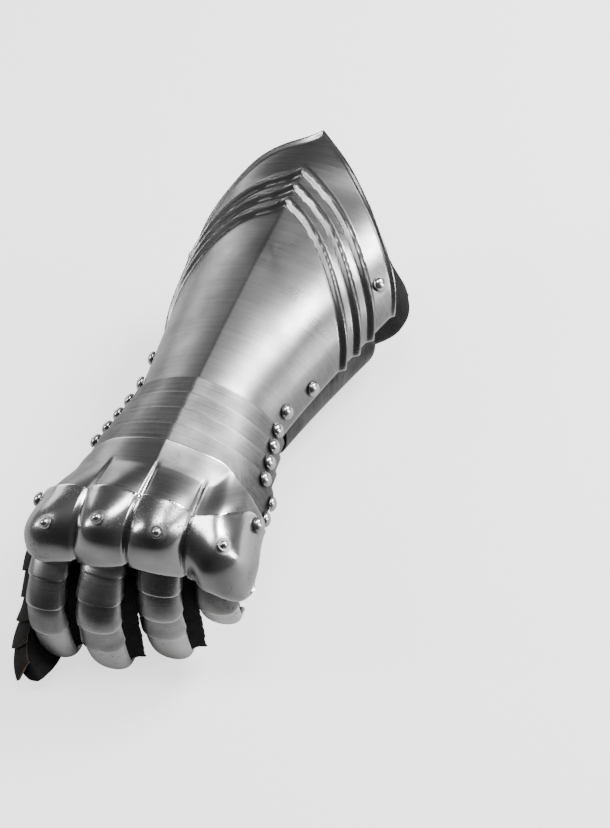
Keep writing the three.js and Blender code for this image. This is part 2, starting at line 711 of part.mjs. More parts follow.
function fingerPath(finger) {
  const floor = finger.z - finger.drop;
  const front = finger.y - finger.reach;
  const points = FINGER_SHAPE.map((row) => new THREE.Vector3(
    finger.x,
    finger.y - row.forward * finger.reach,
    finger.z - row.down * finger.drop,
  )).filter((point) => point.z > floor + TIP_RADIUS);
  TIP_TURNS.forEach((turn) => points.push(new THREE.Vector3(
    finger.x,
    front + TIP_RADIUS * (1 - Math.cos(turn)),
    floor + TIP_RADIUS * (1 - Math.sin(turn)),
  )));
  points.push(new THREE.Vector3(finger.x, front + TIP_RADIUS * TIP_FOLD, floor + TIP_LIFT));
  return limb(points, (t) => new THREE.Vector3(0, t.z, -t.y));
}

const fingerSizes = (finger, path) => (distance) => ({
  half: (finger.half - LAME_SHEET - LEATHER_GAP) * mix(1, 0.7, ease((distance - path.length + 26) / 20)),
  back: FINGER_CORE - LAME_SHEET - LEATHER_GAP,
  palm: mix(FINGER_CORE - LAME_SHEET - LEATHER_GAP, FOLDED_PALM, ease((distance - path.length + 44) / 14)),
});

for (const finger of FINGERS) {
  const path = fingerPath(finger);
  path.core = FINGER_CORE;
  gloveHollows.push(addTube(`glove_${finger.name}`, path, -FINGER_ROOT, fingerSizes(finger, path)));
  const ends = [...finger.edges.map((edge) => edge + FINGER_LAP_START), path.length - TIP_BARE];
  ends.forEach((end, k) => {
    const isTip = k === ends.length - 1;
    const surface = limbLame(path, {
      from: k === 0 ? 0 : ends[k - 1] - FINGER_OVERLAP,
      to: end,
      half: finger.half,
      rise: isTip ? 0 : FINGER_FLARE,
      corner: isTip ? TIP_CORNER : FINGER_CORNER,
      endShare: isTip ? TIP_TAPER : 1,
    });
    const rows = steps(0, 1, isTip ? 5 : 2);
    addMesh(`${finger.name}_lame_${k + 1}`, sheet(surface, steps(-1, 1, 6), rows, LAME_SHEET), 'brightSteel');
  });
}

// Thumb: a leather stall with a row of leather scales on its back

// Line of the thumb, as shares of the knuckle's half width, the hand's length and the axis height
const THUMB_LINE = [
  { across: -0.679, forward: 0.613, up: 0.740 },
  { across: -0.911, forward: 0.853, up: 0.760 },
  { across: -1.045, forward: 1.120, up: 0.731 },
  { across: -1.032, forward: 1.293, up: 0.644 },
  { across: -1.021, forward: 1.480, up: 0.481 },
  { across: -1.025, forward: 1.667, up: 0.308 },
  { across: -0.955, forward: 1.807, up: 0.177 },
  { across: -0.821, forward: 1.873, up: 0.138 },
];
const THUMB_FACING = new THREE.Vector3(-0.8, -0.25, 0.55);
const thumbPath = limb(
  THUMB_LINE.map((row) => new THREE.Vector3(
    row.across * KNUCKLE_HALF_THUMB,
    -row.forward * BACK_LENGTH,
    row.up * AXIS_Z,
  )),
  (t) => THUMB_FACING.clone().addScaledVector(t, -THUMB_FACING.dot(t)),
);
thumbPath.core = 0;

const thumbSizes = (distance) => {
  const share = clamp01(distance / thumbPath.length);
  const slim = mix(1, THUMB_SLIM, ease((share - 0.3) / 0.35));
  const deep = mix(1, THUMB_FLAT, ease((share - 0.35) / 0.35));
  return { half: THUMB_HALF * slim, back: THUMB_DEPTH * deep, palm: THUMB_DEPTH * deep };
};
gloveHollows.push(addTube('glove_thumb', thumbPath, -10, thumbSizes));

function thumbScale(from, to, turnHalf, flare) {
  return (u, v) => {
    const distance = mix(to - SCALE_ROUND * u * u * (1 - v), from, v);
    const frame = thumbPath.frame(distance);
    const { half, back } = thumbSizes(distance);
    const lift = LEATHER_GAP + SCALE_LEATHER + flare * (1 - v);
    return frame.place.clone()
      .addScaledVector(frame.out, (back + lift) * Math.cos(u * turnHalf))
      .addScaledVector(frame.side, (half + lift) * Math.sin(u * turnHalf));
  };
}

for (let k = 0; k < SCALE_COUNT; k += 1) {
  const from = SCALE_START + k * SCALE_PITCH;
  const surface = thumbScale(from, from + SCALE_PITCH + SCALE_OVERLAP, SCALE_WRAP, SCALE_FLARE);
  addMesh(`thumb_scale_${k + 1}`, sheet(surface, steps(-1, 1, 6), [0, 0.5, 1], SCALE_LEATHER), 'brownLeather');
}

const gloveSolid = gloveHollows.reduce((solid, hollow) => solid.subtract(hollow), gloveOuter);
addMesh('glove_hand', fromSolid(gloveSolid), 'blackLeather');

// Rivets: along both sides of the cuff, through the lapped lames, and one stud on each knuckle

function sideRivet(name, share, y, height, grip, pierced) {
  rivet(name, raised(share, y, height), archNormal(share, y), grip, pierced);
}

const cuffGrip = CUFF_SHEET + 1.5 * CLEARANCE + PLATE_SHEET;
const lapGrip = 2 * PLATE_SHEET + CLEARANCE;
const lapTop = lameRise * (lameWidth - LAME_OVERLAP / 2) / lameWidth;
const cuffPlates = ['cuff_plate', 'under_plate'];
for (const [side, share] of [['thumb', -RIVET_SHARE], ['outer', RIVET_SHARE]]) {
  const rear = CUFF_REAR_SHARES[side];
  const border = rearEdge(rear) - RIVET_BORDER;
  sideRivet(`rivet_cuff_rear_${side}`, rear, border, 0, CUFF_SHEET, ['cuff_plate']);
  sideRivet(`rivet_cuff_mid_${side}`, share * CUFF_MID_SHARE, CUFF_MID_Y, 0, cuffGrip, cuffPlates);
  sideRivet(`rivet_cuff_front_${side}`, share, CUFF_FRONT_Y, 0, cuffGrip, cuffPlates);
  for (let k = 0; k < LAME_COUNT; k += 1) {
    const y = -k * LAME_PITCH - LAME_OVERLAP / 2;
    const under = k === 0 ? 'cuff_plate' : `wrist_lame_${k}`;
    sideRivet(`rivet_lame_${k + 1}_${side}`, share, y, lapTop, lapGrip, [under, `wrist_lame_${k + 1}`]);
  }
}

const LAST_LAME = `wrist_lame_${LAME_COUNT}`;
for (const [name, back] of [['rivet_wing_rear', WING_REAR], ['rivet_wing_front', WING_FRONT]]) {
  const y = -BACK_REAR + back;
  sideRivet(name, WING_SHARE, y, lapHeight(-(LAME_COUNT - 1) * LAME_PITCH, y), PLATE_SHEET, [LAST_LAME]);
}

const KNUCKLE_SIDE = { outer: 0.72, thumb: -0.72, along: 0.93, alongThumb: 0.94 };
const KNUCKLE_GRIP = 3 * PLATE_SHEET + 5 * CLEARANCE + lameRise;
const knucklePlates = ['knuckle_plate', 'back_plate', LAST_LAME];
rivet(
  'rivet_knuckle_outer',
  knuckleSurface(KNUCKLE_SIDE.outer, KNUCKLE_SIDE.along),
  normalOf(knuckleSurface, KNUCKLE_SIDE.outer, KNUCKLE_SIDE.along),
  KNUCKLE_GRIP,
  knucklePlates,
);
rivet(
  'rivet_knuckle_thumb',
  knuckleSurface(KNUCKLE_SIDE.thumb, KNUCKLE_SIDE.alongThumb),
  normalOf(knuckleSurface, KNUCKLE_SIDE.thumb, KNUCKLE_SIDE.alongThumb),
  3 * PLATE_SHEET + CLEARANCE,
  knucklePlates.slice(0, 2),
);

function studOn(name, share, v) {
  const place = knuckleSurface(share, v);
  const normal = normalOf(knuckleSurface, share, v);
  rivet(name, place, normal, PLATE_SHEET, ['knuckle_plate'], STUD_HEAD, STUD_DOME, STUD_COLLAR);
}
FINGERS.forEach((finger, k) => {
  const share = mix(BAY_EDGES[k], BAY_EDGES[k + 1], STUD_PLACES[k].across);
  studOn(`knuckle_stud_${finger.name}`, share, STUD_PLACES[k].along);
});

for (const [name, plate] of plates) {
  let geometry = plate.geometry;
  if (holes.has(name)) {
    let solid = toSolid(geometry);
    for (const cut of holes.get(name)) solid = solid.subtract(cut);
    geometry = fromSolid(solid);
  }
  addMesh(name, geometry, plate.look);
}

// Origin at the middle of the footprint, on the table
const extent = new THREE.Box3().setFromObject(gauntlet);
const middle = extent.getCenter(new THREE.Vector3());
hand.position.set(-middle.x, -middle.y, -extent.min.z);

export default gauntlet;
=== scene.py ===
# %% [markdown]
# A left-hand armoured gauntlet, lying on its palm with the knuckles up.
# It is a set of thin steel plates riveted over a leather glove. Every plate is a bent
# sheet, so each one is modelled as a surface: a flat grid is laid down, its corners are
# sent to the place where the hammered sheet lies, and a Solidify modifier gives it its
# gauge. All lengths in the forms are millimetres and become metres as a piece is made.

# %% Load the frame
import math
import bpy
import numpy as np
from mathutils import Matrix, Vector


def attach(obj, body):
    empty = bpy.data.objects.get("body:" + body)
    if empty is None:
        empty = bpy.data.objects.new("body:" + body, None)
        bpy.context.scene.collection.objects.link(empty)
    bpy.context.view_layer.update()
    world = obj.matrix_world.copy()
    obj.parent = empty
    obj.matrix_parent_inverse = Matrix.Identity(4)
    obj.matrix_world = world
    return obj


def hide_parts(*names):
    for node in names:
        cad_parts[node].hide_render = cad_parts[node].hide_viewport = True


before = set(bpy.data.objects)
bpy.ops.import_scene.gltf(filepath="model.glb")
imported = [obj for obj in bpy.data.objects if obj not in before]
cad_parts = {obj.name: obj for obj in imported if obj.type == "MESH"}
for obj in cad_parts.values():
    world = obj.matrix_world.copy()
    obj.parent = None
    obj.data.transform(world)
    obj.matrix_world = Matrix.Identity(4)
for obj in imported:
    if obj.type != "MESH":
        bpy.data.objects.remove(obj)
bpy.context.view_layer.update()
# the forms are measured from the wrist; this is the wrist's place in the frame, in mm
HAND_ORIGIN = np.array([-0.1608, -20.5731, 0.0])
print("frame loaded,", len(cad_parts), "nodes")

# %% [markdown]
# The camera stands where the photographer stood: above the fingers, on the little-finger
# side, turned a little about its own axis. It could be aimed with a Track To constraint,
# but the roll matters here, so its place and its three angles are set as numbers.

# %% Camera
camera_data = bpy.data.cameras.new("camera")
camera_data.lens = 61.24
camera_data.sensor_width = 36.0
camera_data.sensor_fit = "AUTO"
camera_data.clip_start = 0.05
camera = bpy.data.objects.new("camera", camera_data)
camera.location = (np.array([264.577, -396.805, 613.0]) + HAND_ORIGIN) / 1000
camera.rotation_euler = tuple(math.radians(a) for a in (39.55357, 6.94816, 19.43513))
bpy.context.collection.objects.link(camera)
bpy.context.scene.camera = camera
print("camera at", [round(v, 3) for v in camera.location])

# %% [markdown]
# Small curves come first, because every form below is built from them: a blend between
# two values, a soft step, and a smooth line through a few measured rows.

# %% Curve helpers
def mix(a, b, t):
    return a + (b - a) * t


def ease(t):
    c = np.clip(t, 0.0, 1.0)
    return c * c * (3 - 2 * c)


def through(rows):
    x = np.array([r[0] for r in rows], float)
    y = np.array([r[1] for r in rows], float)
    low = np.maximum(np.arange(len(x)) - 1, 0)
    high = np.minimum(np.arange(len(x)) + 1, len(x) - 1)
    slope = (y[high] - y[low]) / (x[high] - x[low])

    def curve(place):
        p = np.clip(place, x[0], x[-1])
        i = np.clip(np.searchsorted(x, p, side="right") - 1, 0, len(x) - 2)
        span = x[i + 1] - x[i]
        t = (p - x[i]) / span
        return ((2 * t**3 - 3 * t**2 + 1) * y[i] + (t**3 - 2 * t**2 + t) * span * slope[i]
                + (3 * t**2 - 2 * t**3) * y[i + 1] + (t**3 - t**2) * span * slope[i + 1])
    return curve


def stack(x, y, z):
    return np.stack(np.broadcast_arrays(x, y, z), axis=-1).astype(float)


def unit(a):
    return a / np.maximum(np.linalg.norm(a, axis=-1, keepdims=True), 1e-9)


def normal_of(surface, u, v, du=0.004, dv=0.004):
    along = surface(u + du, v) - surface(u - du, v)
    back = surface(u, v + dv) - surface(u, v - dv)
    return unit(np.cross(along, back))


# %% [markdown]
# The cuff, the wrist lames and the back of the hand share one arch: a section across the
# arm that is round at the wrist, widens toward the elbow and has a low ridge along the
# top. A share of -1 is the thumb-side edge and 1 the outer edge; y runs to the elbow.

# %% The shared arch
WRIST_HALF = (43.0, 39.0)
CUFF_HALF = (55.0, 67.0)
KNUCKLE_HALF = (56.0, 51.0)
CUFF_SIDE, CUFF_TIP, FLARE = 99.0, 185.0, 1.15
AXIS_Z, AXIS_DROP = 52.0, 3.0
RIDGE_WRIST_Z, RIDGE_TIP_Z, RIDGE_LEAN = 91.6, 99.0, 4.6
ROOF_RISE, ROOF_HALF, ROOF_END, ROOF_FADE = 3.0, 32.0, 142.0, 24.0
ARCH_ANGLE = math.radians(97)
LAME_COUNT, LAME_PITCH, LAME_OVERLAP = 4, 10.2, 4.5
BACK_LENGTH = 75.0
BACK_REAR = LAME_COUNT * LAME_PITCH
THUMB_SQUARENESS = 0.3


def half_width(y, share):
    outer = np.asarray(share) > 0
    wrist = np.where(outer, WRIST_HALF[1], WRIST_HALF[0])
    cuff = np.where(outer, CUFF_HALF[1], CUFF_HALF[0])
    knuckle = np.where(outer, KNUCKLE_HALF[1], KNUCKLE_HALF[0])
    rear = mix(wrist, cuff, (np.maximum(y, 0) / CUFF_SIDE) ** FLARE)
    front = mix(wrist, knuckle, np.minimum(1.2, -np.minimum(y, 0) / BACK_LENGTH))
    return np.where(np.asarray(y) >= 0, rear, front)


def axis_z(y):
    return AXIS_Z - AXIS_DROP * np.clip(y / CUFF_SIDE, 0, 1)


def crown_z(y):
    return mix(RIDGE_WRIST_Z, RIDGE_TIP_Z, np.maximum(0, y) / CUFF_TIP)


def lean_x(y):
    return RIDGE_LEAN * (np.maximum(0, y) / CUFF_TIP) ** 2


def roof_share(y):
    before_knuckles = 1 - ease((-y - BACK_REAR) / (BACK_LENGTH - BACK_REAR))
    before_tip = 1 - ease((y - ROOF_END) / ROOF_FADE)
    return before_knuckles * before_tip


def arch(share, y):
    share, y = np.broadcast_arrays(np.asarray(share, float), np.asarray(y, float))
    angle = share * ARCH_ANGLE
    x = half_width(y, share) * np.sin(angle)
    square = np.where(share < 0, THUMB_SQUARENESS * ease(-y / BACK_LENGTH), 0.0)
    rise = np.sign(np.cos(angle)) * np.abs(np.cos(angle)) ** (1 - square)
    roof = ROOF_RISE * roof_share(y) * np.maximum(0, 1 - np.abs(x) / ROOF_HALF) ** 2
    lift = (crown_z(y) - ROOF_RISE * roof_share(y) - axis_z(y)) * rise
    return stack(lean_x(y) + x, y, axis_z(y) + lift + roof)


def arch_normal(share, y):
    return normal_of(arch, share, y, dv=4.0)


def raised(share, y, height):
    return arch(share, y) + arch_normal(share, y) * np.asarray(height)[..., None]


print("wrist width", WRIST_HALF[0] + WRIST_HALF[1], "mm")

# %% [markdown]
# Finishes. The plates are plain steel: satin where an abrasive belt has left fine lines,
# polished on the knuckles, dull on the plate under the wrist, whose very dark colour there is
# painted shade from the cuff. The fingertip lames get a much lighter grey, a painted reflection
# of a bright floor. The wear that all of them share is one node group: brush lines that follow
# the sheet, cloudy tarnish, dark pits and a bright rubbed rim, and it also paints shade round
# the rivets. It reads the piece's own UV map, in metres of sheet, an "edge" attribute with the
# distance to the nearest rim and one more that marks where shade is painted round rivets.

# %% Shader group for worn steel and painted rivet shade
def math_node(tree, kind, a, b, clamp=False):
    node = tree.nodes.new("ShaderNodeMath")
    node.operation = kind
    node.use_clamp = clamp
    for socket, value in zip(node.inputs, (a, b)):
        if isinstance(value, (int, float)):
            socket.default_value = value
        else:
            tree.links.new(value, socket)
    return node.outputs[0]


def arithmetic(tree):
    # plus, minus and times, each of which adds one node to this tree
    def operation(kind):
        return lambda a, b, clamp=False: math_node(tree, kind, a, b, clamp)
    return operation("ADD"), operation("SUBTRACT"), operation("MULTIPLY")


def ramp_node(tree, factor, stops):
    node = tree.nodes.new("ShaderNodeValToRGB")
    ramp = node.color_ramp
    while len(ramp.elements) < len(stops):
        ramp.elements.new(0.5)
    for element, (place, value) in zip(ramp.elements, stops):
        element.position = place
        element.color = (value, value, value, 1.0)
    tree.links.new(factor, node.inputs[0])
    return node.outputs[0]


def noise_node(tree, vector, scale, detail, rough):
    node = tree.nodes.new("ShaderNodeTexNoise")
    node.inputs["Scale"].default_value = scale
    node.inputs["Detail"].default_value = detail
    node.inputs["Roughness"].default_value = rough
    tree.links.new(vector, node.inputs["Vector"])
    return node.outputs[0]


def mapped(tree, vector, scale, turn=(0, 0, 0)):
    node = tree.nodes.new("ShaderNodeMapping")
    node.inputs["Scale"].default_value = scale
    node.inputs["Rotation"].default_value = turn
    tree.links.new(vector, node.inputs["Vector"])
    return node.outputs[0]


def attribute_node(tree, name):
    node = tree.nodes.new("ShaderNodeAttribute")
    node.attribute_name = name
    return node.outputs["Fac"]


def add_sockets(tree, direction, kind, names):
    for name in names:
        tree.interface.new_socket(name, in_out=direction, socket_type="NodeSocket" + kind)


def surface_outputs(tree):
    add_sockets(tree, "OUTPUT", "Color", ("Colour",))
    add_sockets(tree, "OUTPUT", "Float", ("Roughness", "Height"))


def steel_group():
    tree = bpy.data.node_groups.new("worn_steel_and_rivet_shade", "ShaderNodeTree")
    add_sockets(tree, "INPUT", "Float", ("Brush", "Pits", "Tarnish", "Rim", "Grey", "Gloss", "Dents"))
    surface_outputs(tree)
    plus, minus, times = arithmetic(tree)
    inp = tree.nodes.new("NodeGroupInput").outputs
    out = tree.nodes.new("NodeGroupOutput").inputs
    coords = tree.nodes.new("ShaderNodeTexCoord").outputs
    place, sheet = coords["Object"], coords["UV"]
    edge, rivet_shade = attribute_node(tree, "edge"), attribute_node(tree, "rivet_shade")

    fine = noise_node(tree, mapped(tree, sheet, (30, 2600, 1)), 1.0, 2.0, 0.6)
    broad = noise_node(tree, mapped(tree, sheet, (14, 420, 1)), 1.0, 3.0, 0.6)
    scratch = noise_node(tree, mapped(tree, sheet, (900, 60, 1), (0, 0, 0.5)), 1.0, 2.0, 0.5)
    cloud = noise_node(tree, place, 34.0, 4.0, 0.62)
    patch = noise_node(tree, place, 11.0, 3.0, 0.5)
    dent = noise_node(tree, place, 55.0, 1.0, 0.4)
    spots = tree.nodes.new("ShaderNodeTexVoronoi")
    spots.inputs["Scale"].default_value = 520.0
    spots.inputs["Randomness"].default_value = 1.0
    tree.links.new(place, spots.inputs["Vector"])
    spot = ramp_node(tree, spots.outputs["Distance"], ((0.10, 1.0), (0.30, 0.0)))
    where = ramp_node(tree, cloud, ((0.50, 0.0), (0.66, 1.0)))
    pits = times(times(spot, where), inp["Pits"])
    lines = plus(times(fine, 0.55), times(broad, 0.45))
    brush = times(minus(lines, 0.5), inp["Brush"])
    stain = times(ramp_node(tree, cloud, ((0.34, 0.0), (0.72, 1.0))), inp["Tarnish"])
    broad_stain = ramp_node(tree, patch, ((0.38, 0.0), (0.66, 1.0)))
    rim = times(ramp_node(tree, edge, ((0.0, 1.0), (0.35, 0.25), (1.0, 0.0))), inp["Rim"])

    grey = plus(inp["Grey"], times(brush, 0.35))
    grey = minus(grey, times(stain, 0.16))
    grey = minus(grey, times(broad_stain, 0.05))
    grey = plus(grey, times(rim, 0.22))
    grey = times(grey, minus(1.0, times(pits, 0.85)))
    # painted shade: the colour is darker round each rivet head
    grey = times(grey, minus(1.0, times(rivet_shade, 0.75)), clamp=True)
    warm = tree.nodes.new("ShaderNodeCombineColor")
    tree.links.new(grey, warm.inputs[0])
    tree.links.new(times(grey, 0.995), warm.inputs[1])
    tree.links.new(times(grey, 0.99), warm.inputs[2])
    tree.links.new(warm.outputs[0], out["Colour"])

    rough = plus(inp["Gloss"], times(stain, 0.16))
    rough = plus(rough, times(brush, 0.22))
    rough = plus(rough, times(pits, 0.3))
    rough = plus(rough, times(rivet_shade, 0.3))
    rough = minus(rough, times(rim, 0.1), clamp=True)
    tree.links.new(rough, out["Roughness"])

    high = plus(times(brush, 0.05), times(times(dent, inp["Dents"]), 3.0))
    high = plus(high, times(scratch, 0.02))
    high = minus(high, times(pits, 0.1))
    tree.links.new(high, out["Height"])
    return tree


def group_material(name, group_tree, values, relief):
    # the group gives colour, roughness and bump; relief is the height of the bump in metres
    material = bpy.data.materials.new(name)
    material.use_nodes = True
    tree = material.node_tree
    shader = tree.nodes["Principled BSDF"]
    group = tree.nodes.new("ShaderNodeGroup")
    group.node_tree = group_tree
    for key, value in values.items():
        group.inputs[key].default_value = value
    bump = tree.nodes.new("ShaderNodeBump")
    bump.inputs["Distance"].default_value = relief
    bump.inputs["Strength"].default_value = 0.9
    tree.links.new(group.outputs["Colour"], shader.inputs["Base Color"])
    tree.links.new(group.outputs["Roughness"], shader.inputs["Roughness"])
    tree.links.new(group.outputs["Height"], bump.inputs["Height"])
    tree.links.new(bump.outputs["Normal"], shader.inputs["Normal"])
    return material, shader.inputs


WORN_STEEL_AND_RIVET_SHADE = steel_group()


def steel(name, grey, gloss, brush, pits, tarnish, dents, rim=1.0, anisotropy=0.0):
    values = {"Grey": grey, "Gloss": gloss, "Brush": brush, "Pits": pits,
              "Tarnish": tarnish, "Rim": rim, "Dents": dents}
    material, shader = group_material(name, WORN_STEEL_AND_RIVET_SHADE, values, 0.00035)
    shader["Metallic"].default_value = 1.0
    shader["Anisotropic"].default_value = anisotropy
    return material


SATIN = steel("satin_steel", 0.27, 0.27, brush=0.55, pits=0.25, tarnish=0.6, dents=0.14,
              anisotropy=0.35)
BACK_STEEL = steel("back_steel", 0.25, 0.28, brush=0.5, pits=0.4, tarnish=0.7, dents=0.5)
LAME_SATIN = steel("lame_satin_steel", 0.2, 0.36, brush=0.9, pits=0.3, tarnish=0.7, dents=0.08,
                   rim=0.15, anisotropy=0.2)
POLISHED = steel("polished_steel", 0.50, 0.15, brush=0.25, pits=1.2, tarnish=0.8, dents=0.6,
                 rim=1.6)
FINGER_STEEL = steel("finger_steel", 0.46, 0.22, brush=1.0, pits=0.6, tarnish=1.5, dents=0.35,
                     rim=2.4)
# the fingertip lames: the same steel as the finger lames, made much lighter as a painted reflection
# of a bright floor
TIP_STEEL_PAINTED_REFLECTION = steel("fingertip_steel_painted_reflection", 0.85, 0.42, brush=0.4, pits=0.9, tarnish=0.6, dents=0.4)
# the under plate: the higher roughness is its duller finish, but its very dark grey is painted shade
# from the cuff over it
DULL_STEEL_IN_PAINTED_SHADE = steel("dull_steel_painted_shade", 0.09, 0.42, brush=0.6, pits=0.3, tarnish=0.6, dents=0.15, rim=0.4)
RIVET_STEEL = steel("rivet_steel", 0.55, 0.22, brush=0.0, pits=0.3, tarnish=0.3, dents=0.05,
                    rim=0.0)
print("steel finishes:", len([m for m in bpy.data.materials if "steel" in m.name]))

# %% [markdown]
# The glove is black leather worn flesh side out, so it looks like rough suede: almost
# black, very matt, with a fine nap and broad creases. The scales on the thumb are the same
# hide, thicker, and their cut edges show the undyed light brown core.

# %% Leather finishes
def leather_group():
    tree = bpy.data.node_groups.new("leather_grain", "ShaderNodeTree")
    add_sockets(tree, "INPUT", "Float", ("Nap", "Creases"))
    add_sockets(tree, "INPUT", "Color", ("Tone", "Dust"))
    surface_outputs(tree)
    plus, minus, times = arithmetic(tree)
    inp = tree.nodes.new("NodeGroupInput").outputs
    out = tree.nodes.new("NodeGroupOutput").inputs
    place = tree.nodes.new("ShaderNodeTexCoord").outputs["Object"]
    nap = noise_node(tree, place, 1500.0, 3.0, 0.7)
    mid = noise_node(tree, place, 260.0, 4.0, 0.65)
    cloud = noise_node(tree, place, 38.0, 4.0, 0.6)
    cells = tree.nodes.new("ShaderNodeTexVoronoi")
    cells.feature = "DISTANCE_TO_EDGE"
    cells.inputs["Scale"].default_value = 620.0
    tree.links.new(place, cells.inputs["Vector"])
    grain = ramp_node(tree, cells.outputs["Distance"], ((0.0, 0.0), (0.12, 1.0)))
    dusty = ramp_node(tree, mid, ((0.45, 0.0), (0.75, 1.0)))
    dusty = times(dusty, ramp_node(tree, cloud, ((0.35, 0.1), (0.7, 1.0))))
    blend = tree.nodes.new("ShaderNodeMix")
    blend.data_type = "RGBA"
    tree.links.new(dusty, blend.inputs["Factor"])
    tree.links.new(inp["Tone"], blend.inputs["A"])
    tree.links.new(inp["Dust"], blend.inputs["B"])
    tree.links.new(blend.outputs["Result"], out["Colour"])
    tree.links.new(plus(0.62, times(mid, 0.3), clamp=True), out["Roughness"])
    high = plus(times(times(nap, inp["Nap"]), 0.5), times(grain, 0.25))
    high = plus(high, times(times(cloud, inp["Creases"]), 3.0))
    tree.links.new(high, out["Height"])
    return tree


LEATHER_GRAIN = leather_group()


def leather(name, tone, dust, nap, creases):
    values = {"Tone": (*tone, 1), "Dust": (*dust, 1), "Nap": nap, "Creases": creases}
    material, shader = group_material(name, LEATHER_GRAIN, values, 0.0005)
    shader["Specular IOR Level"].default_value = 0.3
    return material


SUEDE = leather("black_suede", (0.003, 0.003, 0.0032), (0.013, 0.0125, 0.0125), 2.4, 2.2)
HIDE = leather("black_hide", (0.005, 0.0047, 0.0047), (0.024, 0.02, 0.018), 0.8, 1.0)
CUT_EDGE = leather("cut_leather_edge", (0.13, 0.088, 0.06), (0.24, 0.175, 0.125), 1.0, 0.3)
print("leather finishes: 3")

# %% [markdown]
# One helper makes every plate. A grid primitive is a flat sheet with its UV map already
# on it; its corners are sent to the bent surface, its UV is stretched to real lengths so
# that brush lines keep their scale, Solidify gives the gauge and Bevel breaks the rims.
# Pushing a grid to a known form is exact, where bending it by hand would only come near.

# %% Plate helper
def to_metres(points):
    return (np.asarray(points) + HAND_ORIGIN) / 1000.0


def activate(obj):
    bpy.ops.object.select_all(action="DESELECT")
    obj.select_set(True)
    bpy.context.view_layer.objects.active = obj


def apply_modifiers(obj):
    activate(obj)
    for modifier in list(obj.modifiers):
        bpy.ops.object.modifier_apply(modifier=modifier.name)


def smooth(obj, degrees):
    activate(obj)
    bpy.ops.object.shade_smooth_by_angle(angle=math.radians(degrees))


def float_attribute(mesh, name, values):
    attribute = mesh.attributes.get(name) or mesh.attributes.new(name, "FLOAT", "POINT")
    attribute.data.foreach_set("value", np.asarray(values, np.float32))


def corners_of(mesh):
    flat = np.empty(len(mesh.vertices) * 3)
    mesh.vertices.foreach_get("co", flat)
    return flat.reshape(-1, 3)


# how near a rim the rubbed edge reaches, then the painted shade round each rivet: full inside, gone
# outside, and its strength
EDGE_REACH, SHADE_INNER, SHADE_OUTER, SHADE_DEPTH = 3.0, 3.0, 5.4, 0.75


def grid_object(name, surface, across, along, columns=None, seam=None):
    bpy.ops.object.select_all(action="DESELECT")
    bpy.ops.mesh.primitive_grid_add(x_subdivisions=across, y_subdivisions=along, size=2)
    obj = bpy.context.object
    obj.name = name
    obj.data.name = name
    mesh = obj.data
    flat = corners_of(mesh)
    # u runs from -1 to 1 across the sheet and v from 0 to 1 along it
    u = flat[:, 0]
    v = (flat[:, 1] + 1) / 2
    if columns is not None:
        u = columns(u)
    points = surface(u, v)
    mesh.vertices.foreach_set("co", to_metres(points).ravel())
    # the run of real length along each line of the net gives the UV map and the rim distance
    iu = np.rint((flat[:, 0] + 1) / 2 * across).astype(int)
    iv = np.rint((flat[:, 1] + 1) / 2 * along).astype(int)
    net = np.zeros((along + 1, across + 1, 3))
    net[iv, iu] = points
    step_u = np.linalg.norm(np.diff(net, axis=1), axis=2)
    step_v = np.linalg.norm(np.diff(net, axis=0), axis=2)
    run_u = np.concatenate([np.zeros((along + 1, 1)), np.cumsum(step_u, axis=1)], axis=1)
    run_v = np.concatenate([np.zeros((1, across + 1)), np.cumsum(step_v, axis=0)], axis=0)
    left, right = run_u, run_u[:, -1:] - run_u
    front, rear = run_v, run_v[-1:, :] - run_v
    near = np.minimum(np.minimum(left, right), np.minimum(front, rear))
    centred = run_u - run_u[:, -1:] / 2
    near = near[iv, iu] if seam is None else np.minimum(near[iv, iu], seam(u, v))
    float_attribute(mesh, "edge", np.clip(near / EDGE_REACH, 0, 1))
    corner = np.empty(len(mesh.loops), int)
    mesh.loops.foreach_get("vertex_index", corner)
    uv = np.stack([centred[iv, iu][corner], run_v[iv, iu][corner]], axis=1) / 1000.0
    mesh.uv_layers.active.data.foreach_set("uv", uv.ravel())
    mesh.update()
    return obj, points


# a ring of painted shade round each rivet, where the head would shade the plate
def rivet_shade_at(points, spots):
    mask = np.zeros(len(points))
    for spot in spots:
        distance = np.linalg.norm(points - np.asarray(spot), axis=1)
        fade = ease((distance - SHADE_INNER) / (SHADE_OUTER - SHADE_INNER))
        mask = np.maximum(mask, SHADE_DEPTH * (1 - fade))
    return mask


def thicken(obj, gauge):
    wall = obj.modifiers.new("gauge", "SOLIDIFY")
    wall.thickness = gauge / 1000.0
    wall.offset = -1
    return wall


def plate(name, surface, across, along, gauge, material, node, rim=None, bevel=0.3,
          columns=None, spots=(), seam=None):
    obj, points = grid_object(name, surface, across, along, columns, seam)
    # the rivet places get a ring of painted shade in the colour
    float_attribute(obj.data, "rivet_shade", rivet_shade_at(points, spots))
    obj.data.materials.append(material)
    wall = thicken(obj, gauge)
    if rim is not None:
        obj.data.materials.append(rim)
        wall.material_offset_rim = 1
    if bevel:
        soft = obj.modifiers.new("broken_rim", "BEVEL")
        soft.width = bevel / 1000.0
        soft.segments = 2
        soft.limit_method = "ANGLE"
        soft.angle_limit = math.radians(55)
    apply_modifiers(obj)
    smooth(obj, 35)
    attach(obj, "root")
    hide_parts(node)
    return obj


def columns_to(low, high):
    return lambda u: mix(low, high, (u + 1) / 2)


# %% [markdown]
# The cuff. On the real one a flat blank is raised into a flared half cone, three flutes
# are hammered in along the pointed rear edge, and the rim is turned out. The rear edge is
# one smooth curve for each side, fitted to ten measured rows, and each flute is a small
# round hill a set distance in front of it that rises to a point at the ridge.

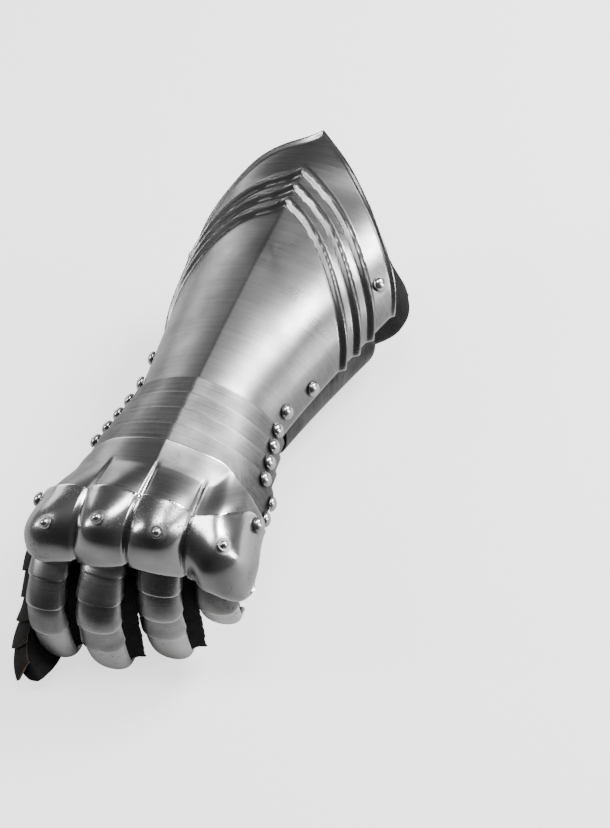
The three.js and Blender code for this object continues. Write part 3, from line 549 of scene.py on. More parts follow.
# %% Cuff plate
# each row: thumb-side share, outer share, how far along from CUFF_SIDE to CUFF_TIP
REAR_EDGE = np.array([
    (0, 0, 1), (0.1, 0.06, 0.895), (0.26, 0.128, 0.785), (0.392, 0.222, 0.64),
    (0.531, 0.338, 0.475), (0.67, 0.458, 0.325), (0.745, 0.545, 0.235),
    (0.855, 0.722, 0.1), (0.96, 0.88, 0.01), (1, 1, 0)])
EDGE_TRUST = (40, 3, 3, 3, 3, 3, 3, 3, 3, 6)
EDGE_DEGREE = 6
CUFF_OUTER_EDGE = 0.9
CUFF_SHEET, PLATE_SHEET, LAME_SHEET, CLEARANCE = 1.2, 1.0, 0.8, 0.35
FLUTE_FIRST, FLUTE_PITCH, FLUTE_COUNT, FLUTE_WIDTH, FLUTE_HEIGHT = 20.0, 12.0, 3, 7.2, 2.9
FLUTE_PEAK, FLUTE_SPREAD = 13.0, (0.4, 0.17)
RIM_WIDTH, RIM_TURN = 3.4, 1.5
edge_height = mix(CUFF_SIDE, CUFF_TIP, REAR_EDGE[:, 2])
thumb_edge, outer_edge = [
    np.poly1d(np.polyfit(REAR_EDGE[:, side], edge_height, EDGE_DEGREE, w=EDGE_TRUST))
    for side in (0, 1)]


def rear_edge(share):
    share = np.asarray(share)
    return np.where(share < 0, thumb_edge(-share), outer_edge(share))


def flute_peak(share):
    return FLUTE_PEAK * np.exp(-np.abs(share) / np.where(np.asarray(share) < 0, *FLUTE_SPREAD))


def flute_height(back):
    height = np.zeros_like(back)
    for k in range(FLUTE_COUNT):
        t = (back - (FLUTE_FIRST + k * FLUTE_PITCH)) / (FLUTE_WIDTH / 2)
        hill = np.clip(1 - np.abs(t), 0, 1)
        height += FLUTE_HEIGHT * (hill * hill * (3 - 2 * hill)) ** 0.8
    return height + RIM_TURN * (1 - ease(back / RIM_WIDTH)) ** 1.5


def cuff_back(share, y):
    behind = rear_edge(share) - y
    peak = flute_peak(share)
    return np.where(behind > FLUTE_FIRST + peak, behind - peak,
                    behind * FLUTE_FIRST / (FLUTE_FIRST + peak))


def cuff(u, v):
    share = np.where(u > 0, u * CUFF_OUTER_EDGE, u)
    y = mix(-LAME_OVERLAP, rear_edge(share), v)
    return raised(share, y, flute_height(cuff_back(share, y)))


RIVET_SHARE, RIVET_BORDER = 0.74, 11.0
CUFF_REAR_SHARES = {"thumb": -0.75, "outer": 0.63}
MID_RIVET_SHARE, MID_RIVET_Y, FRONT_RIVET_Y = RIVET_SHARE * 1.08, 32, 11
# rivet places on the cuff, round which shade is painted
cuff_spots = [arch(s, rear_edge(s) - RIVET_BORDER) for s in CUFF_REAR_SHARES.values()]
cuff_spots += [arch(s, MID_RIVET_Y) for s in (-MID_RIVET_SHARE, MID_RIVET_SHARE)]
cuff_spots += [arch(s, FRONT_RIVET_Y) for s in (-RIVET_SHARE, RIVET_SHARE)]
cuff_plate = plate("cuff", cuff, 150, 190, CUFF_SHEET, SATIN, node="cuff_plate",
                   spots=cuff_spots, bevel=0.4)
print("cuff faces", len(cuff_plate.data.polygons))

# %% [markdown]
# The plate under the wrist closes the cuff from below. It is a plain bent sheet of duller
# steel, so the same helper makes it from a round section; its very dark colour is painted shade from
# the cuff.

# %% Under plate
UNDER_START = math.radians(76)
UNDER_FRONT, UNDER_REAR, UNDER_CORNER = 8.0, 86.0, 10.0
UNDER_DEPTH, UNDER_FULLNESS = (29.0, 42.0), 0.72


def under(u, v):
    turn = mix(2 * math.pi - UNDER_START, UNDER_START, (1 - u) / 2)
    corner = UNDER_CORNER * np.maximum(0, np.abs(u) - 0.8) / 0.2
    y = mix(UNDER_FRONT, UNDER_REAR - corner, v)
    inset = CUFF_SHEET + 1.5 * CLEARANCE
    width = half_width(y, np.sin(turn)) - inset
    height = np.where(np.cos(turn) > 0, crown_z(y) - ROOF_RISE - axis_z(y) - inset,
                      mix(*UNDER_DEPTH, np.clip(y / UNDER_REAR, 0, 1)))
    # the lower outer quarter is fuller than an ellipse
    full = np.where((np.cos(turn) < 0) & (np.sin(turn) > 0), UNDER_FULLNESS, 1)
    across = np.sign(np.sin(turn)) * np.abs(np.sin(turn)) ** full
    upright = np.sign(np.cos(turn)) * np.abs(np.cos(turn)) ** full
    return stack(lean_x(y) + width * across, y, axis_z(y) + height * upright)


# the under plate takes the steel painted dark as shade
under_plate = plate("under", under, 90, 30, PLATE_SHEET, DULL_STEEL_IN_PAINTED_SHADE, node="under_plate")
print("under plate faces", len(under_plate.data.polygons))

# %% [markdown]
# Four wrist lames lap like roof tiles, each one's rear edge lying on the plate behind it.
# The last has a wing on the outer side that carries two more rivets.

# %% Wrist lames
LAME_WIDTH = LAME_PITCH + LAME_OVERLAP
LAME_RISE = (PLATE_SHEET + CLEARANCE) * (LAME_WIDTH / LAME_PITCH)
LAST_WING, WING_SHARE, WING_RIVETS = 20.0, 0.96, {"rear": -37.0, "front": -46.5}
LAST_REAR = -(LAME_COUNT - 1) * LAME_PITCH


def lap_height(rear, y):
    return LAME_RISE * np.clip((y - rear + LAME_WIDTH) / LAME_WIDTH, 0, 1)


def wing_clear(share):
    # the plates in front stand clear of the wing on the outer side
    return LAME_RISE * ease((share - 0.36) / 0.12)


def lame(index):
    rear = -index * LAME_PITCH
    wing = LAST_WING if index == LAME_COUNT - 1 else 0.0

    def surface(u, v):
        front = rear - LAME_WIDTH - wing * ease((u - 0.4) / 0.25)
        y = mix(front, rear, v)
        return raised(u, y, lap_height(rear, y))
    return surface


lap_top = LAME_RISE * (LAME_WIDTH - LAME_OVERLAP / 2) / LAME_WIDTH
for k in range(LAME_COUNT):
    last = k == LAME_COUNT - 1
    rivet_y = -k * LAME_PITCH - LAME_OVERLAP / 2
    # the lame's rivets, round which shade is painted
    spots = [raised(s, rivet_y, lap_top) for s in (-RIVET_SHARE, RIVET_SHARE)]
    if last:
        spots += [raised(WING_SHARE, y, lap_height(LAST_REAR, y)) for y in WING_RIVETS.values()]
    plate(f"wrist_{k + 1}", lame(k), 150, 18 if not last else 30, PLATE_SHEET, LAME_SATIN,
          node=f"wrist_lame_{k + 1}", columns=columns_to(-0.93, 1.02 if last else 0.93),
          spots=spots, bevel=0.25)
print("wrist lames", LAME_COUNT)

# %% [markdown]
# The back plate and the knuckle plate share the creases that are chased between the
# fingers. A bay between two creases is a rounded swelling; the crease itself is a sharp
# valley. The knuckle plate turns down over the fingers in a quarter round.

# %% Back and knuckle plates
BAY_EDGES = (-0.8, -0.286, 0.012, 0.325, 0.85)
BACK_OVERLAP, KNUCKLE_SIDE_RISE, BACK_SIDE_SWEEP = 5.0, 17.0, 12.0
CREASE_START, CREASE_DEPTH = 52.0, 3.0
KNUCKLE_HEIGHT, KNUCKLE_LIP, KNUCKLE_REACH, KNUCKLE_FRONT_Z = 6.5, 2.5, 28.0, 71.5
SHARE_LENGTH, GROOVE_DEPTH, GROOVE_HALF, GROOVE_WAVES = 88, 0.9, 1.1, 310


def swell_shape(share):
    s = np.clip(share, BAY_EDGES[0], BAY_EDGES[-1])
    edges = np.array(BAY_EDGES)
    bay = np.clip(np.searchsorted(edges, s, side="left") - 1, 0, 3)
    t = (s - edges[bay]) / (edges[bay + 1] - edges[bay])
    outer = ((bay == 0) & (t < 0.5)) | ((bay == 3) & (t > 0.5))
    crown = 1 - np.abs(2 * t - 1) ** 2
    return np.where(outer, mix(0.45, 1, crown), crown)


def knuckle_rear(share):
    return BACK_LENGTH - KNUCKLE_SIDE_RISE * ease((share - 0.33) / 0.35)


def back(u, v):
    side = ease((np.abs(u) - 0.36) / 0.4)
    rear = -BACK_REAR - BACK_SIDE_SWEEP * side
    front = knuckle_rear(u) + BACK_OVERLAP
    y = mix(-front, rear, v)
    lap = lap_height(-BACK_REAR, y)
    start = CREASE_START - (BACK_LENGTH - knuckle_rear(u))
    swell = CREASE_DEPTH * ease((-y - start) / (BACK_LENGTH - CREASE_START))
    cut = chased(u, ease((-y - start) / 8))
    return raised(u, y, np.maximum(lap, wing_clear(u)) + swell * swell_shape(u) - cut)


KNUCKLE_DROP, KNUCKLE_TURN = 29.0, math.radians(87.3)
# each row: share, reach forward, drop and sideways place of the front edge, as parts
FRONT_EDGE = (
    (-0.8, 1, 0.224, -0.857), (-0.463, 0.973, 0.207, -0.714), (-0.286, 0.95, 0.138, -0.473),
    (0.012, 0.88, 0, 0.01), (0.169, 0.768, 0.103, 0.269), (0.325, 0.66, 0.31, 0.529),
    (0.54, 0.653, 0.397, 0.814), (0.72, 0.6, 0.69, 0.98), (0.85, 0.4, 0.76, 1.08))
front_reach = through([(r[0], r[1] * KNUCKLE_REACH) for r in FRONT_EDGE])
front_drop = through([(r[0], r[2] * KNUCKLE_DROP) for r in FRONT_EDGE])
front_width = through([(r[0], r[3] * KNUCKLE_HALF[int(r[0] > 0)]) for r in FRONT_EDGE])


def knuckle_base(share, v):
    # a quarter round from the back plate's front down to the front edge
    turn = (1 - v) * KNUCKLE_TURN
    rear = arch(share, -knuckle_rear(share))
    reach = (front_reach(share) + BACK_LENGTH - knuckle_rear(share)) / math.sin(KNUCKLE_TURN)
    low = KNUCKLE_FRONT_Z - front_drop(share)
    return stack(mix(rear[..., 0], front_width(share), 1 - np.cos(turn)),
                 rear[..., 1] - reach * np.sin(turn), mix(low, rear[..., 2], np.cos(turn)))


def knuckle(u, v):
    lap = PLATE_SHEET + 3 * CLEARANCE + wing_clear(u)
    top = np.where(v > 0.5, CREASE_DEPTH, KNUCKLE_LIP)
    swell = mix(KNUCKLE_HEIGHT, top, ease(np.abs(2 * v - 1) * 1.1)) * swell_shape(u) - chased(u, 1)
    return knuckle_base(u, v) + normal_of(knuckle_base, u, v) * (lap + swell)[..., None]


def crease_gap(u):
    return np.min([np.abs(u - edge) for edge in BAY_EDGES[1:-1]], axis=0) * SHARE_LENGTH


def chased(u, strength):
    # a ragged narrow groove along each crease
    width = GROOVE_HALF * (1 + 0.35 * np.sin(u * GROOVE_WAVES))
    return GROOVE_DEPTH * strength * np.exp(-(crease_gap(u) / width) ** 2)


def bays(u):
    # columns of the grid gather at the creases, where the form is sharpest
    place = (u + 1) * 2
    bay = np.clip(np.floor(place + 1e-9).astype(int), 0, 3)
    edges = np.array(BAY_EDGES)
    part = place - bay
    return mix(edges[bay], edges[bay + 1], mix(part, ease(part), 0.55))


# each row: name, place across its bay or share of the plate, place from front to rear
STUD_PLACES = (("index", 0.71, 0.52), ("middle", 0.55, 0.61), ("ring", 0.52, 0.59),
               ("little", 0.34, 0.6))
KNUCKLE_RIVETS = (("outer", 0.72, 0.93), ("thumb", -0.72, 0.94))
stud_rows = [(name, mix(BAY_EDGES[k], BAY_EDGES[k + 1], across), along)
             for k, (name, across, along) in enumerate(STUD_PLACES)]
# rivet and stud places on the knuckle plate, round which shade is painted
knuckle_spots = [knuckle(np.float64(share), np.float64(along))
                 for name, share, along in (*stud_rows, *KNUCKLE_RIVETS)]
back_plate = plate("back_of_hand", back, 160, 60, PLATE_SHEET, BACK_STEEL, node="back_plate",
                   columns=bays,
                   seam=lambda u, v: crease_gap(u) * 0.7 + 4 * ease((v - 0.25) / 0.2))
knuckle_plate = plate("knuckles", knuckle, 160, 90, PLATE_SHEET, POLISHED, node="knuckle_plate",
                      columns=bays, spots=knuckle_spots,
                      seam=lambda u, v: crease_gap(u) * 0.8 + 0.5 + 3 * ease((0.75 - v) / 0.3))
print("back and knuckle faces", len(back_plate.data.polygons), len(knuckle_plate.data.polygons))

# %% [markdown]
# A finger is a bent line that starts on the knuckle, drops in front of it and curls under.
# Frames along that line say where its back faces, and each lame wraps them over a few
# millimetres of length, its corners cut round.

# %% Limb lines
LOOK_AHEAD = 1.2


class Limb:
    def __init__(self, points, facing, core=0.0):
        self.nodes = np.asarray(points, float)
        self.facing = facing
        self.core = core
        self.line = self.curve(24)
        steps = np.linalg.norm(np.diff(self.line, axis=0), axis=1)
        self.run = np.concatenate([[0], np.cumsum(steps)])
        self.length = self.run[-1]

    def curve(self, fine):
        # a centripetal spline: it passes through every point and doesn't overshoot
        p = self.nodes
        p = np.vstack([2 * p[0] - p[1], p, 2 * p[-1] - p[-2]])
        rows = []
        for i in range(1, len(p) - 2):
            a, b, c, d = p[i - 1:i + 3]
            t0, t1 = 0.0, np.linalg.norm(b - a) ** 0.5
            t2 = t1 + np.linalg.norm(c - b) ** 0.5
            t3 = t2 + np.linalg.norm(d - c) ** 0.5
            for t in np.linspace(t1, t2, fine, endpoint=False):
                ab = (t1 - t) / (t1 - t0) * a + (t - t0) / (t1 - t0) * b
                bc = (t2 - t) / (t2 - t1) * b + (t - t1) / (t2 - t1) * c
                cd = (t3 - t) / (t3 - t2) * c + (t - t2) / (t3 - t2) * d
                abc = (t2 - t) / (t2 - t0) * ab + (t - t0) / (t2 - t0) * bc
                bcd = (t3 - t) / (t3 - t1) * bc + (t - t1) / (t3 - t1) * cd
                rows.append((t2 - t) / (t2 - t1) * abc + (t - t1) / (t2 - t1) * bcd)
        rows.append(p[-2])
        return np.array(rows)

    def point(self, run):
        return np.stack([np.interp(run, self.run, self.line[:, i]) for i in range(3)], axis=-1)

    def at(self, distance):
        # the place at a distance, the way out of the limb's back and the way to its side
        d = np.asarray(distance, float)
        c = np.clip(d, 0, self.length)
        ahead = self.point(np.minimum(c + LOOK_AHEAD, self.length))
        behind = self.point(np.maximum(c - LOOK_AHEAD, 0))
        tangent = unit(ahead - behind)
        place = self.point(c) + tangent * (d - c)[..., None]
        out = unit(self.facing(tangent))
        return place, out, unit(np.cross(out, tangent))


def finger_facing(t):
    return stack(np.zeros_like(t[..., 0]), t[..., 2], -t[..., 1])


FINGER_SHAPE = ((-0.42, -0.07), (0, 0), (0.42, 0.13), (0.79, 0.31), (0.95, 0.55), (1, 0.76))
TIP_RADIUS, TIP_FOLD, TIP_LIFT, TIP_BARE, TIP_LAP = 13.0, 1.7, 1.0, 6.0, 8
LEATHER_GAP, FINGER_CORE = 0.75, 7.5
FINGERS = {
    "index": dict(x=-42.5, y=-104, z=64.3, reach=23, drop=64, half=10.2, spread=0.85,
                  edges=(12, 27, 43)),
    "middle": dict(x=-14, y=-100.5, z=69, reach=25.5, drop=68.7, half=11.5, spread=1.05,
                   edges=(11, 25, 40, 54)),
    "ring": dict(x=13.5, y=-97, z=69, reach=15.5, drop=68.7, half=11.5, spread=1.05,
                 edges=(14, 29, 43)),
    "little": dict(x=39.5, y=-94, z=62, reach=6, drop=37, half=11, spread=-0.1, edges=(14,)),
}


def finger_limb(f):
    floor, front = f["z"] - f["drop"], f["y"] - f["reach"]
    rows = [(f["x"], f["y"] - s * f["reach"], f["z"] - d * f["drop"]) for s, d in FINGER_SHAPE]
    rows = [r for r in rows if r[2] > floor + TIP_RADIUS]
    for turn in (math.pi / 6, math.pi / 3, math.pi / 2):
        rows.append((f["x"], front + TIP_RADIUS * (1 - math.cos(turn)),
                     floor + TIP_RADIUS * (1 - math.sin(turn))))
    rows.append((f["x"], front + TIP_RADIUS * TIP_FOLD, floor + TIP_LIFT))
    return Limb(rows, finger_facing, core=LAME_SHEET + LEATHER_GAP + FINGER_CORE)


FINGER_DEPTH, FINGER_WRAP, FLATNESS, SIDE_LIFT = 8.8, math.radians(82), 0.62, 0.45
FINGER_RISE = (LAME_SHEET + CLEARANCE) * 1.9


def finger_lame(limb, start, end, half, rise, corner, tip):
    def surface(u, v):
        rounding = np.maximum(0, (np.abs(u) - 0.48) / 0.52)
        cut = corner * (1 - np.sqrt(np.maximum(0, 1 - rounding ** 2)))
        distance = mix(end - cut * (1 - v), start, v)
        place, out, side = limb.at(distance)
        wide = half * mix(tip, 1, ease(v * 1.6))
        turn = u * FINGER_WRAP
        lift = rise * (1 - v)
        flat_top = np.maximum(np.cos(turn), 0) ** FLATNESS
        high = -FINGER_DEPTH + FINGER_DEPTH * flat_top + lift * np.cos(turn)
        aside = (wide + SIDE_LIFT * lift) * np.sin(turn)
        return place + out * high[..., None] + side * aside[..., None]
    return surface


WOBBLE, TABLE_GAP = 0.35, 0.15


def leather_skin(name, surface, around, along, material, outward):
    # the seam is merged; outward turns the faces of a closed skin out
    obj = grid_object(name, surface, around, along)[0]
    activate(obj)
    bpy.ops.object.mode_set(mode="EDIT")
    bpy.ops.mesh.select_all(action="SELECT")
    bpy.ops.mesh.remove_doubles(threshold=0.00005)
    if outward:
        bpy.ops.mesh.normals_make_consistent(inside=False)
    bpy.ops.object.mode_set(mode="OBJECT")
    obj.data.materials.append(material)
    return obj


def finish_leather(obj, node):
    smooth(obj, 60)
    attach(obj, "root")
    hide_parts(node)


def tube(name, limb, start, sizes, around, along, material, node, spread=0.0, flap=(0, 0, 0)):
    end = limb.length

    def surface(u, v):
        a = u * math.pi
        distance = mix(start, end, v)
        place, out, side = limb.at(distance)
        half, rear, palm = sizes(distance)
        close = np.sqrt(np.clip((end - distance) / 9.0, 0.02, 1))
        reach = np.where(np.cos(a) > 0, rear, palm) * close
        fold = WOBBLE * np.sin(distance * 0.9 + 2 * np.sin(a)) * np.sin(distance * 0.37 + a)
        wide = half * (1 + spread * ease(0.4 - np.cos(a)) * ease((end - distance) / 16))
        skin = (place + out * (-limb.core + (reach + fold * close) * np.cos(a))[..., None]
                - side * ((wide * close + fold * close) * np.sin(a))[..., None])
        palm_side = close * ease((distance / end - 0.6) / 0.3) * np.maximum(0, -np.cos(a))
        skin = skin + np.asarray(flap) * palm_side[..., None]
        skin[..., 2] = np.maximum(skin[..., 2], TABLE_GAP)
        return skin
    finish_leather(leather_skin(name, surface, around, along, material, True), node)


def finger_sizes(f, limb):
    # half width, depth on the back and depth on the palm side, slimmer toward the tip
    def sizes(distance):
        before_end = distance - limb.length
        half = (f["half"] - LAME_SHEET - LEATHER_GAP) * mix(1, 0.7, ease((before_end + 26) / 20))
        palm = mix(FINGER_CORE, 2.8, ease((before_end + 44) / 14))
        return half, np.full_like(distance, FINGER_CORE), palm
    return sizes


FINGER_ROOT = -14
for name, f in FINGERS.items():
    limb = finger_limb(f)
    edges = [*f["edges"], limb.length - TIP_BARE - TIP_LAP]
    for k, edge in enumerate(edges):
        is_tip = k == len(edges) - 1
        start = 0 if k == 0 else edges[k - 1] + 3.5
        surface = finger_lame(limb, start, edge + TIP_LAP, f["half"], 0 if is_tip else FINGER_RISE,
                              9 if is_tip else 5.5, 0.86 if is_tip else 1)
        # the tip lame's much lighter steel is a painted reflection of a bright floor
        plate(f"{name}_plate_{k + 1}", surface, 44, 46 if is_tip else 24, LAME_SHEET,
              TIP_STEEL_PAINTED_REFLECTION if is_tip else FINGER_STEEL, node=f"{name}_lame_{k + 1}",
              bevel=0.25)
    tube(f"{name}_leather", limb, FINGER_ROOT, finger_sizes(f, limb), 40, 60, SUEDE,
         f"glove_{name}", spread=f["spread"])
print("fingers", list(FINGERS))

# %% [markdown]
# The thumb lies along the index side in a leather stall whose palm side folds out near the
# tip, with five leather scales over its back. Each scale is a bent patch with a raw rim,
# so its Solidify puts the cut edge colour on the rim faces.

# %% Thumb
THUMB_FACING = np.array([-0.8, -0.25, 0.55])


def thumb_facing(t):
    return THUMB_FACING - t * (t @ THUMB_FACING)[..., None]


thumb = Limb([(-38, -46, 38.5), (-51, -64, 39.5), (-58.5, -84, 38), (-57.8, -97, 33.5),
              (-57.2, -111, 25), (-57.4, -125, 16), (-53.5, -135.5, 9.2),
              (-46, -140.5, 7.2)], thumb_facing)
THUMB_ROOT, THUMB_HALF, THUMB_DEPTH, THUMB_FLAP = -10, 9, 8, (9.8, 15.1, -2.7)
SCALE_COUNT, SCALE_START, SCALE_PITCH, SCALE_OVERLAP, SCALE_LEATHER = 5, 40.4, 12.5, 4.5, 1.3
SCALE_WRAP = math.radians(72)
SCALE_RISE = (SCALE_LEATHER + CLEARANCE) * 1.35


def thumb_sizes(distance):
    share = np.clip(distance / thumb.length, 0, 1)
    slim = mix(1, 0.66, ease((share - 0.3) / 0.35))
    deep = mix(1, 0.43, ease((share - 0.35) / 0.35))
    return THUMB_HALF * slim, THUMB_DEPTH * deep, THUMB_DEPTH * deep


def thumb_scale(start, end):
    def surface(u, v):
        distance = mix(end - 4 * u * u * (1 - v), start, v)
        place, out, side = thumb.at(distance)
        half, rear, palm = thumb_sizes(distance)
        lift = LEATHER_GAP + SCALE_LEATHER + SCALE_RISE * (1 - v)
        return (place + out * ((rear + lift) * np.cos(u * SCALE_WRAP))[..., None]
                + side * ((half + lift) * np.sin(u * SCALE_WRAP))[..., None])
    return surface


for k in range(SCALE_COUNT):
    start = SCALE_START + k * SCALE_PITCH
    plate(f"scale_{k + 1}", thumb_scale(start, start + SCALE_PITCH + SCALE_OVERLAP), 36, 20,
          SCALE_LEATHER, HIDE, node=f"thumb_scale_{k + 1}", rim=CUT_EDGE, bevel=0)
tube("thumb_leather", thumb, THUMB_ROOT, thumb_sizes, 40, 70, HIDE, "glove_thumb",
     flap=THUMB_FLAP)
print("thumb scales", SCALE_COUNT)

# %% [markdown]
# The glove is one leather bag from the knuckles to the forearm. It bulges out behind the
# cuff and its underside is flat where it lies on the table. Its form is a closed loop of
# section points; the wall is given by Solidify after the seam is merged.

# %% Glove hand
GLOVE_HALF, GLOVE_SAG, GLOVE_FRONT, GLOVE_SLANT = 68.0, 8.0, 80.0, 4.0
GLOVE_SIDE, GLOVE_PEAK, GLOVE_TOP_PEAK, GLOVE_BULGE = 120.0, 60.0, 32.0, 10.0
BULGE_START, BULGE_LENGTH, BULGE_END, GLOVE_CLOSE, CLOSE_LENGTH = 94.0, 22.0, 116.0, 6.0, 16.0
GLOVE_LEATHER, FLOOR_TOUCH = 2.0, 0.02
glove_belly = through([(-BACK_LENGTH, 31), (0, 29), (UNDER_REAR + 6, 41.3),
                       (GLOVE_SIDE, AXIS_Z + GLOVE_SAG)])


def glove(u, v):
    turn = u * math.pi
    front = -GLOVE_FRONT + GLOVE_SLANT * np.sin(turn)
    upright = np.cos(turn)
    rear = np.where(upright > 0, GLOVE_SIDE + GLOVE_TOP_PEAK * upright ** 2,
                    GLOVE_SIDE + GLOVE_PEAK * np.maximum(0, -upright) ** 1.3)
    y = mix(front, rear, v)
    # the leather lies further inside the cuff than inside the back of the hand
    within = mix(2.4, 5.0, ease((y + 3) / 8))
    above = crown_z(y) - ROOF_RISE - axis_z(y)
    rise = np.where(upright > 0, above, glove_belly(y)) - within
    # the bulge starts behind the under plate below and behind the cuff's edge above
    start = BULGE_START - 12 * (1 - ease((upright + 0.4) / 0.4)) + 40 * np.maximum(0, upright)
    bulge = (GLOVE_BULGE * ease((y - start) / BULGE_LENGTH)
             - GLOVE_CLOSE * ease((y - BULGE_END) / CLOSE_LENGTH + 0.4))
    half = np.minimum(half_width(y, np.sin(turn)), GLOVE_HALF) - within
    half = half + bulge * ease((0.9 - upright) / 1.1)
    close = np.sqrt(np.clip((y - front) / 7.0, 0.03, 1))
    z = axis_z(y) + rise * upright * close
    return stack(lean_x(y) + half * np.sin(turn) * close, y, np.maximum(FLOOR_TOUCH, z))


glove_hand = leather_skin("glove", glove, 120, 110, SUEDE, False)
thicken(glove_hand, GLOVE_LEATHER)
apply_modifiers(glove_hand)
finish_leather(glove_hand, "glove_hand")
print("glove faces", len(glove_hand.data.polygons))

# %% [markdown]
# Rivets. A dome head is modelled once from a sphere: its lower half is cut off with
# bisect, the open rim is extruded into the shank and the tail is capped. Every rivet is a
# copy with its own mesh, turned to stand square on its plate.

# %% Rivet heads
def dome(name, radius, height, shank, tail, collar=0.0):
    bpy.ops.object.select_all(action="DESELECT")
    bpy.ops.mesh.primitive_uv_sphere_add(segments=40, ring_count=24, radius=1.0)
    obj = bpy.context.object
    obj.name = name
    bpy.ops.object.mode_set(mode="EDIT")
    bpy.ops.mesh.select_all(action="SELECT")
    bpy.ops.mesh.bisect(plane_co=(0, 0, 0), plane_no=(0, 0, 1), clear_inner=True, use_fill=False)
    bpy.ops.mesh.select_all(action="SELECT")
    dome_size = (radius / 1000, radius / 1000, height / 1000)
    bpy.ops.transform.resize(value=dome_size, center_override=(0, 0, 0))
    bpy.ops.mesh.select_all(action="DESELECT")
    bpy.ops.object.mode_set(mode="OBJECT")

    def rim_edges():
        low = min(v.co.z for v in obj.data.vertices)
        for v in obj.data.vertices:
            v.select = v.co.z < low + 1e-7
        for e in obj.data.edges:
            e.select = all(obj.data.vertices[i].select for i in e.vertices)

    def ring(scale, drop):
        rim_edges()
        bpy.ops.object.mode_set(mode="EDIT")
        bpy.ops.mesh.select_mode(type="EDGE")
        move = {"value": (0, 0, -drop / 1000 - 1e-6)}
        bpy.ops.mesh.extrude_region_move(TRANSFORM_OT_translate=move)
        bpy.ops.transform.resize(value=(scale, scale, 1), center_override=(0, 0, 0))
        bpy.ops.object.mode_set(mode="OBJECT")

    reach = radius
    # each step: how far out the ring reaches and how far it drops
    steps = [(radius, 0.25), (radius * 0.93, 0.15)]
    if collar:
        steps = [(collar * 0.96, 0.02), (collar, 0.22), (collar, 0.5), (collar * 0.95, 0.16)]
    steps += [(shank, 0.02), (shank, tail)]
    for new_reach, drop in steps:
        ring(new_reach / reach, drop)
        reach = new_reach
    rim_edges()
    bpy.ops.object.mode_set(mode="EDIT")
    bpy.ops.mesh.edge_face_add()
    bpy.ops.mesh.select_all(action="SELECT")
    bpy.ops.mesh.normals_make_consistent(inside=False)
    bpy.ops.object.mode_set(mode="OBJECT")
    obj.data.materials.append(RIVET_STEEL)
    smooth(obj, 35)
    return obj


def place_copy(source, name, point, normal):
    mesh = source.data.copy()
    mesh.name = name
    obj = bpy.data.objects.new(name, mesh)
    bpy.context.collection.objects.link(obj)
    z = unit(np.asarray(normal, float))
    x = unit(np.cross((0.0, 1.0, 0.0), z))
    turn = np.stack([x, np.cross(z, x), z], axis=1)
    moved = corners_of(mesh) @ turn.T + to_metres(point)
    mesh.vertices.foreach_set("co", moved.ravel())
    mesh.update()
    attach(obj, "root")
    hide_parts(name)


HEAD_LIFT, STUD_LIFT = 1.02, 1.85
head = dome("rivet_head", 3.9, 2.6, 1.5, 2.2)
stud = dome("stud_head", 2.1, 1.6, 1.5, 0.9, collar=3.1)


def rivet(name, share, y, height):
    share, y = np.float64(share), np.float64(y)
    normal = arch_normal(share, y)
    point = raised(share, y, np.float64(height)) + normal * HEAD_LIFT
    place_copy(head, name, point, normal)


def knuckle_head(source, name, share, along, lift):
    share, along = np.float64(share), np.float64(along)
    normal = normal_of(knuckle, share, along)
    place_copy(source, name, knuckle(share, along) + normal * lift, normal)


for side, sign in (("thumb", -1), ("outer", 1)):
    rear_share = CUFF_REAR_SHARES[side]
    rivet(f"rivet_cuff_rear_{side}", rear_share, float(rear_edge(rear_share)) - RIVET_BORDER, 0)
    rivet(f"rivet_cuff_mid_{side}", sign * MID_RIVET_SHARE, MID_RIVET_Y, 0)
    rivet(f"rivet_cuff_front_{side}", sign * RIVET_SHARE, FRONT_RIVET_Y, 0)
    for k in range(LAME_COUNT):
        rivet_y = -k * LAME_PITCH - LAME_OVERLAP / 2
        rivet(f"rivet_lame_{k + 1}_{side}", sign * RIVET_SHARE, rivet_y, lap_top)
for place, y in WING_RIVETS.items():
    rivet(f"rivet_wing_{place}", WING_SHARE, y, lap_height(LAST_REAR, y))
for side, share, along in KNUCKLE_RIVETS:
    knuckle_head(head, f"rivet_knuckle_{side}", share, along, HEAD_LIFT)
for name, share, along in stud_rows:
    knuckle_head(stud, f"knuckle_stud_{name}", share, along, STUD_LIFT)
for spare in (head, stud):
    bpy.data.objects.remove(spare)
print("rivets placed")

# %% [markdown]
# The setting is a photo table. Steel shows its surroundings more than its own colour, so
# the lights are large panels: the strongest stands behind on the right, one hangs above,
# two stand at the sides and a weak low one behind on the left. The floor looks white to
# the camera, but the steel sees it darker in front than behind.

# %% Floor, lights and surroundings
FLOOR_GLOW, FLOOR_TURN = 1.6, 0.85
FLOOR_TONES = ((0.0, 0.08), (0.4, 0.14), (0.62, 0.24), (0.85, 0.5), (1.0, 0.62))
bpy.ops.object.select_all(action="DESELECT")
bpy.ops.mesh.primitive_plane_add(size=12, location=(0, 0, -0.0004))
floor = bpy.context.object
floor.name = "floor"
floor_paint = bpy.data.materials.new("floor_paint")
floor_paint.use_nodes = True
tree = floor_paint.node_tree
plus, minus, times = arithmetic(tree)
paint = tree.nodes["Principled BSDF"].inputs
paint["Roughness"].default_value = 0.9
paint["Emission Color"].default_value = (1, 1, 1, 1)
seen = tree.nodes.new("ShaderNodeLightPath").outputs["Is Camera Ray"]
floor_place = tree.nodes.new("ShaderNodeTexCoord").outputs["Object"]
floor_split = tree.nodes.new("ShaderNodeSeparateXYZ")
tree.links.new(floor_place, floor_split.inputs[0])
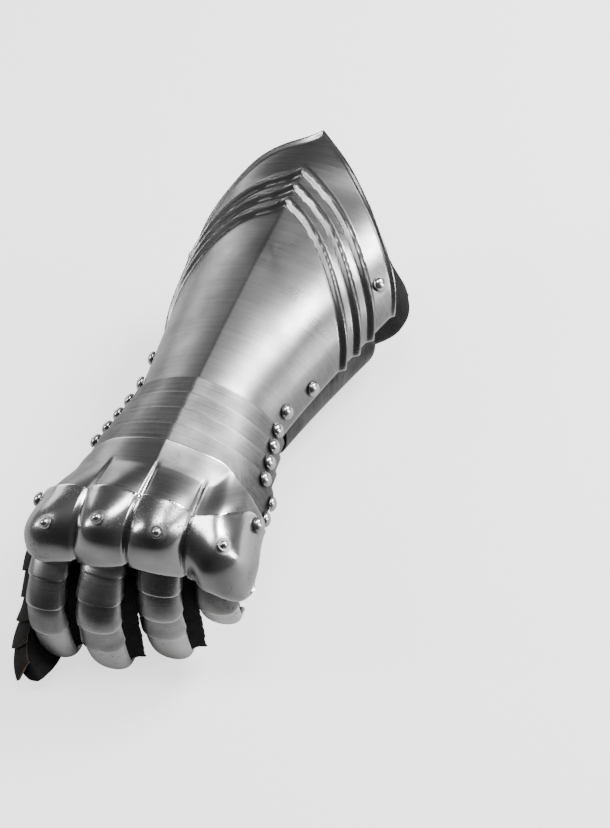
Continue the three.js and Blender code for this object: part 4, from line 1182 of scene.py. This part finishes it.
near_back = plus(floor_split.outputs["Y"], FLOOR_TURN, clamp=True)
tone = ramp_node(tree, math_node(tree, "MAXIMUM", near_back, seen), FLOOR_TONES)
tree.links.new(tone, paint["Base Color"])
tree.links.new(times(seen, FLOOR_GLOW), paint["Emission Strength"])
floor.data.materials.append(floor_paint)


def soft_light(name, place, target, size, power):
    data = bpy.data.lights.new(name, "AREA")
    data.shape = "RECTANGLE"
    data.size, data.size_y = size
    data.energy = power
    light = bpy.data.objects.new(name, data)
    light.location = place
    aim = Vector(target) - Vector(place)
    light.rotation_euler = aim.to_track_quat("-Z", "Y").to_euler()
    bpy.context.collection.objects.link(light)


soft_light("overhead", (0.16, 0.2, 1.5), (0, 0, 0.05), (0.42, 0.5), 13)
soft_light("behind", (0.88, 0.9, 1.16), (0, 0.05, 0.05), (0.42, 0.5), 50)
soft_light("left_behind", (-1.25, 0.9, 0.42), (0, 0.1, 0.05), (0.9, 0.5), 4.5)
soft_light("right", (1.5, 0.2, 0.6), (0, 0, 0.05), (0.3, 0.9), 16)
soft_light("left", (-1.3, -0.4, 1.0), (0, 0, 0.05), (0.2, 0.8), 12)
SKY_HEIGHTS = ((0.0, 0.3), (0.25, 0.22), (0.5, 0.17), (0.8, 0.17), (1.0, 0.26))
SKY_FRONT_TO_BACK = ((0.0, 0.15), (0.5, 0.7), (1.0, 1.0))
world = bpy.data.worlds.new("surroundings")
world.use_nodes = True
sky = world.node_tree
plus, minus, times = arithmetic(sky)
direction = sky.nodes.new("ShaderNodeTexCoord").outputs["Generated"]
split = sky.nodes.new("ShaderNodeSeparateXYZ")
sky.links.new(direction, split.inputs[0])
by_height = ramp_node(sky, split.outputs["Z"], SKY_HEIGHTS)
by_depth = ramp_node(sky, plus(times(split.outputs["Y"], 0.5), 0.5), SKY_FRONT_TO_BACK)
sky.links.new(times(by_height, by_depth), sky.nodes["Background"].inputs[0])
sky.nodes["Background"].inputs[1].default_value = 1.0
bpy.context.scene.world = world
print("lights", len(bpy.data.lights))
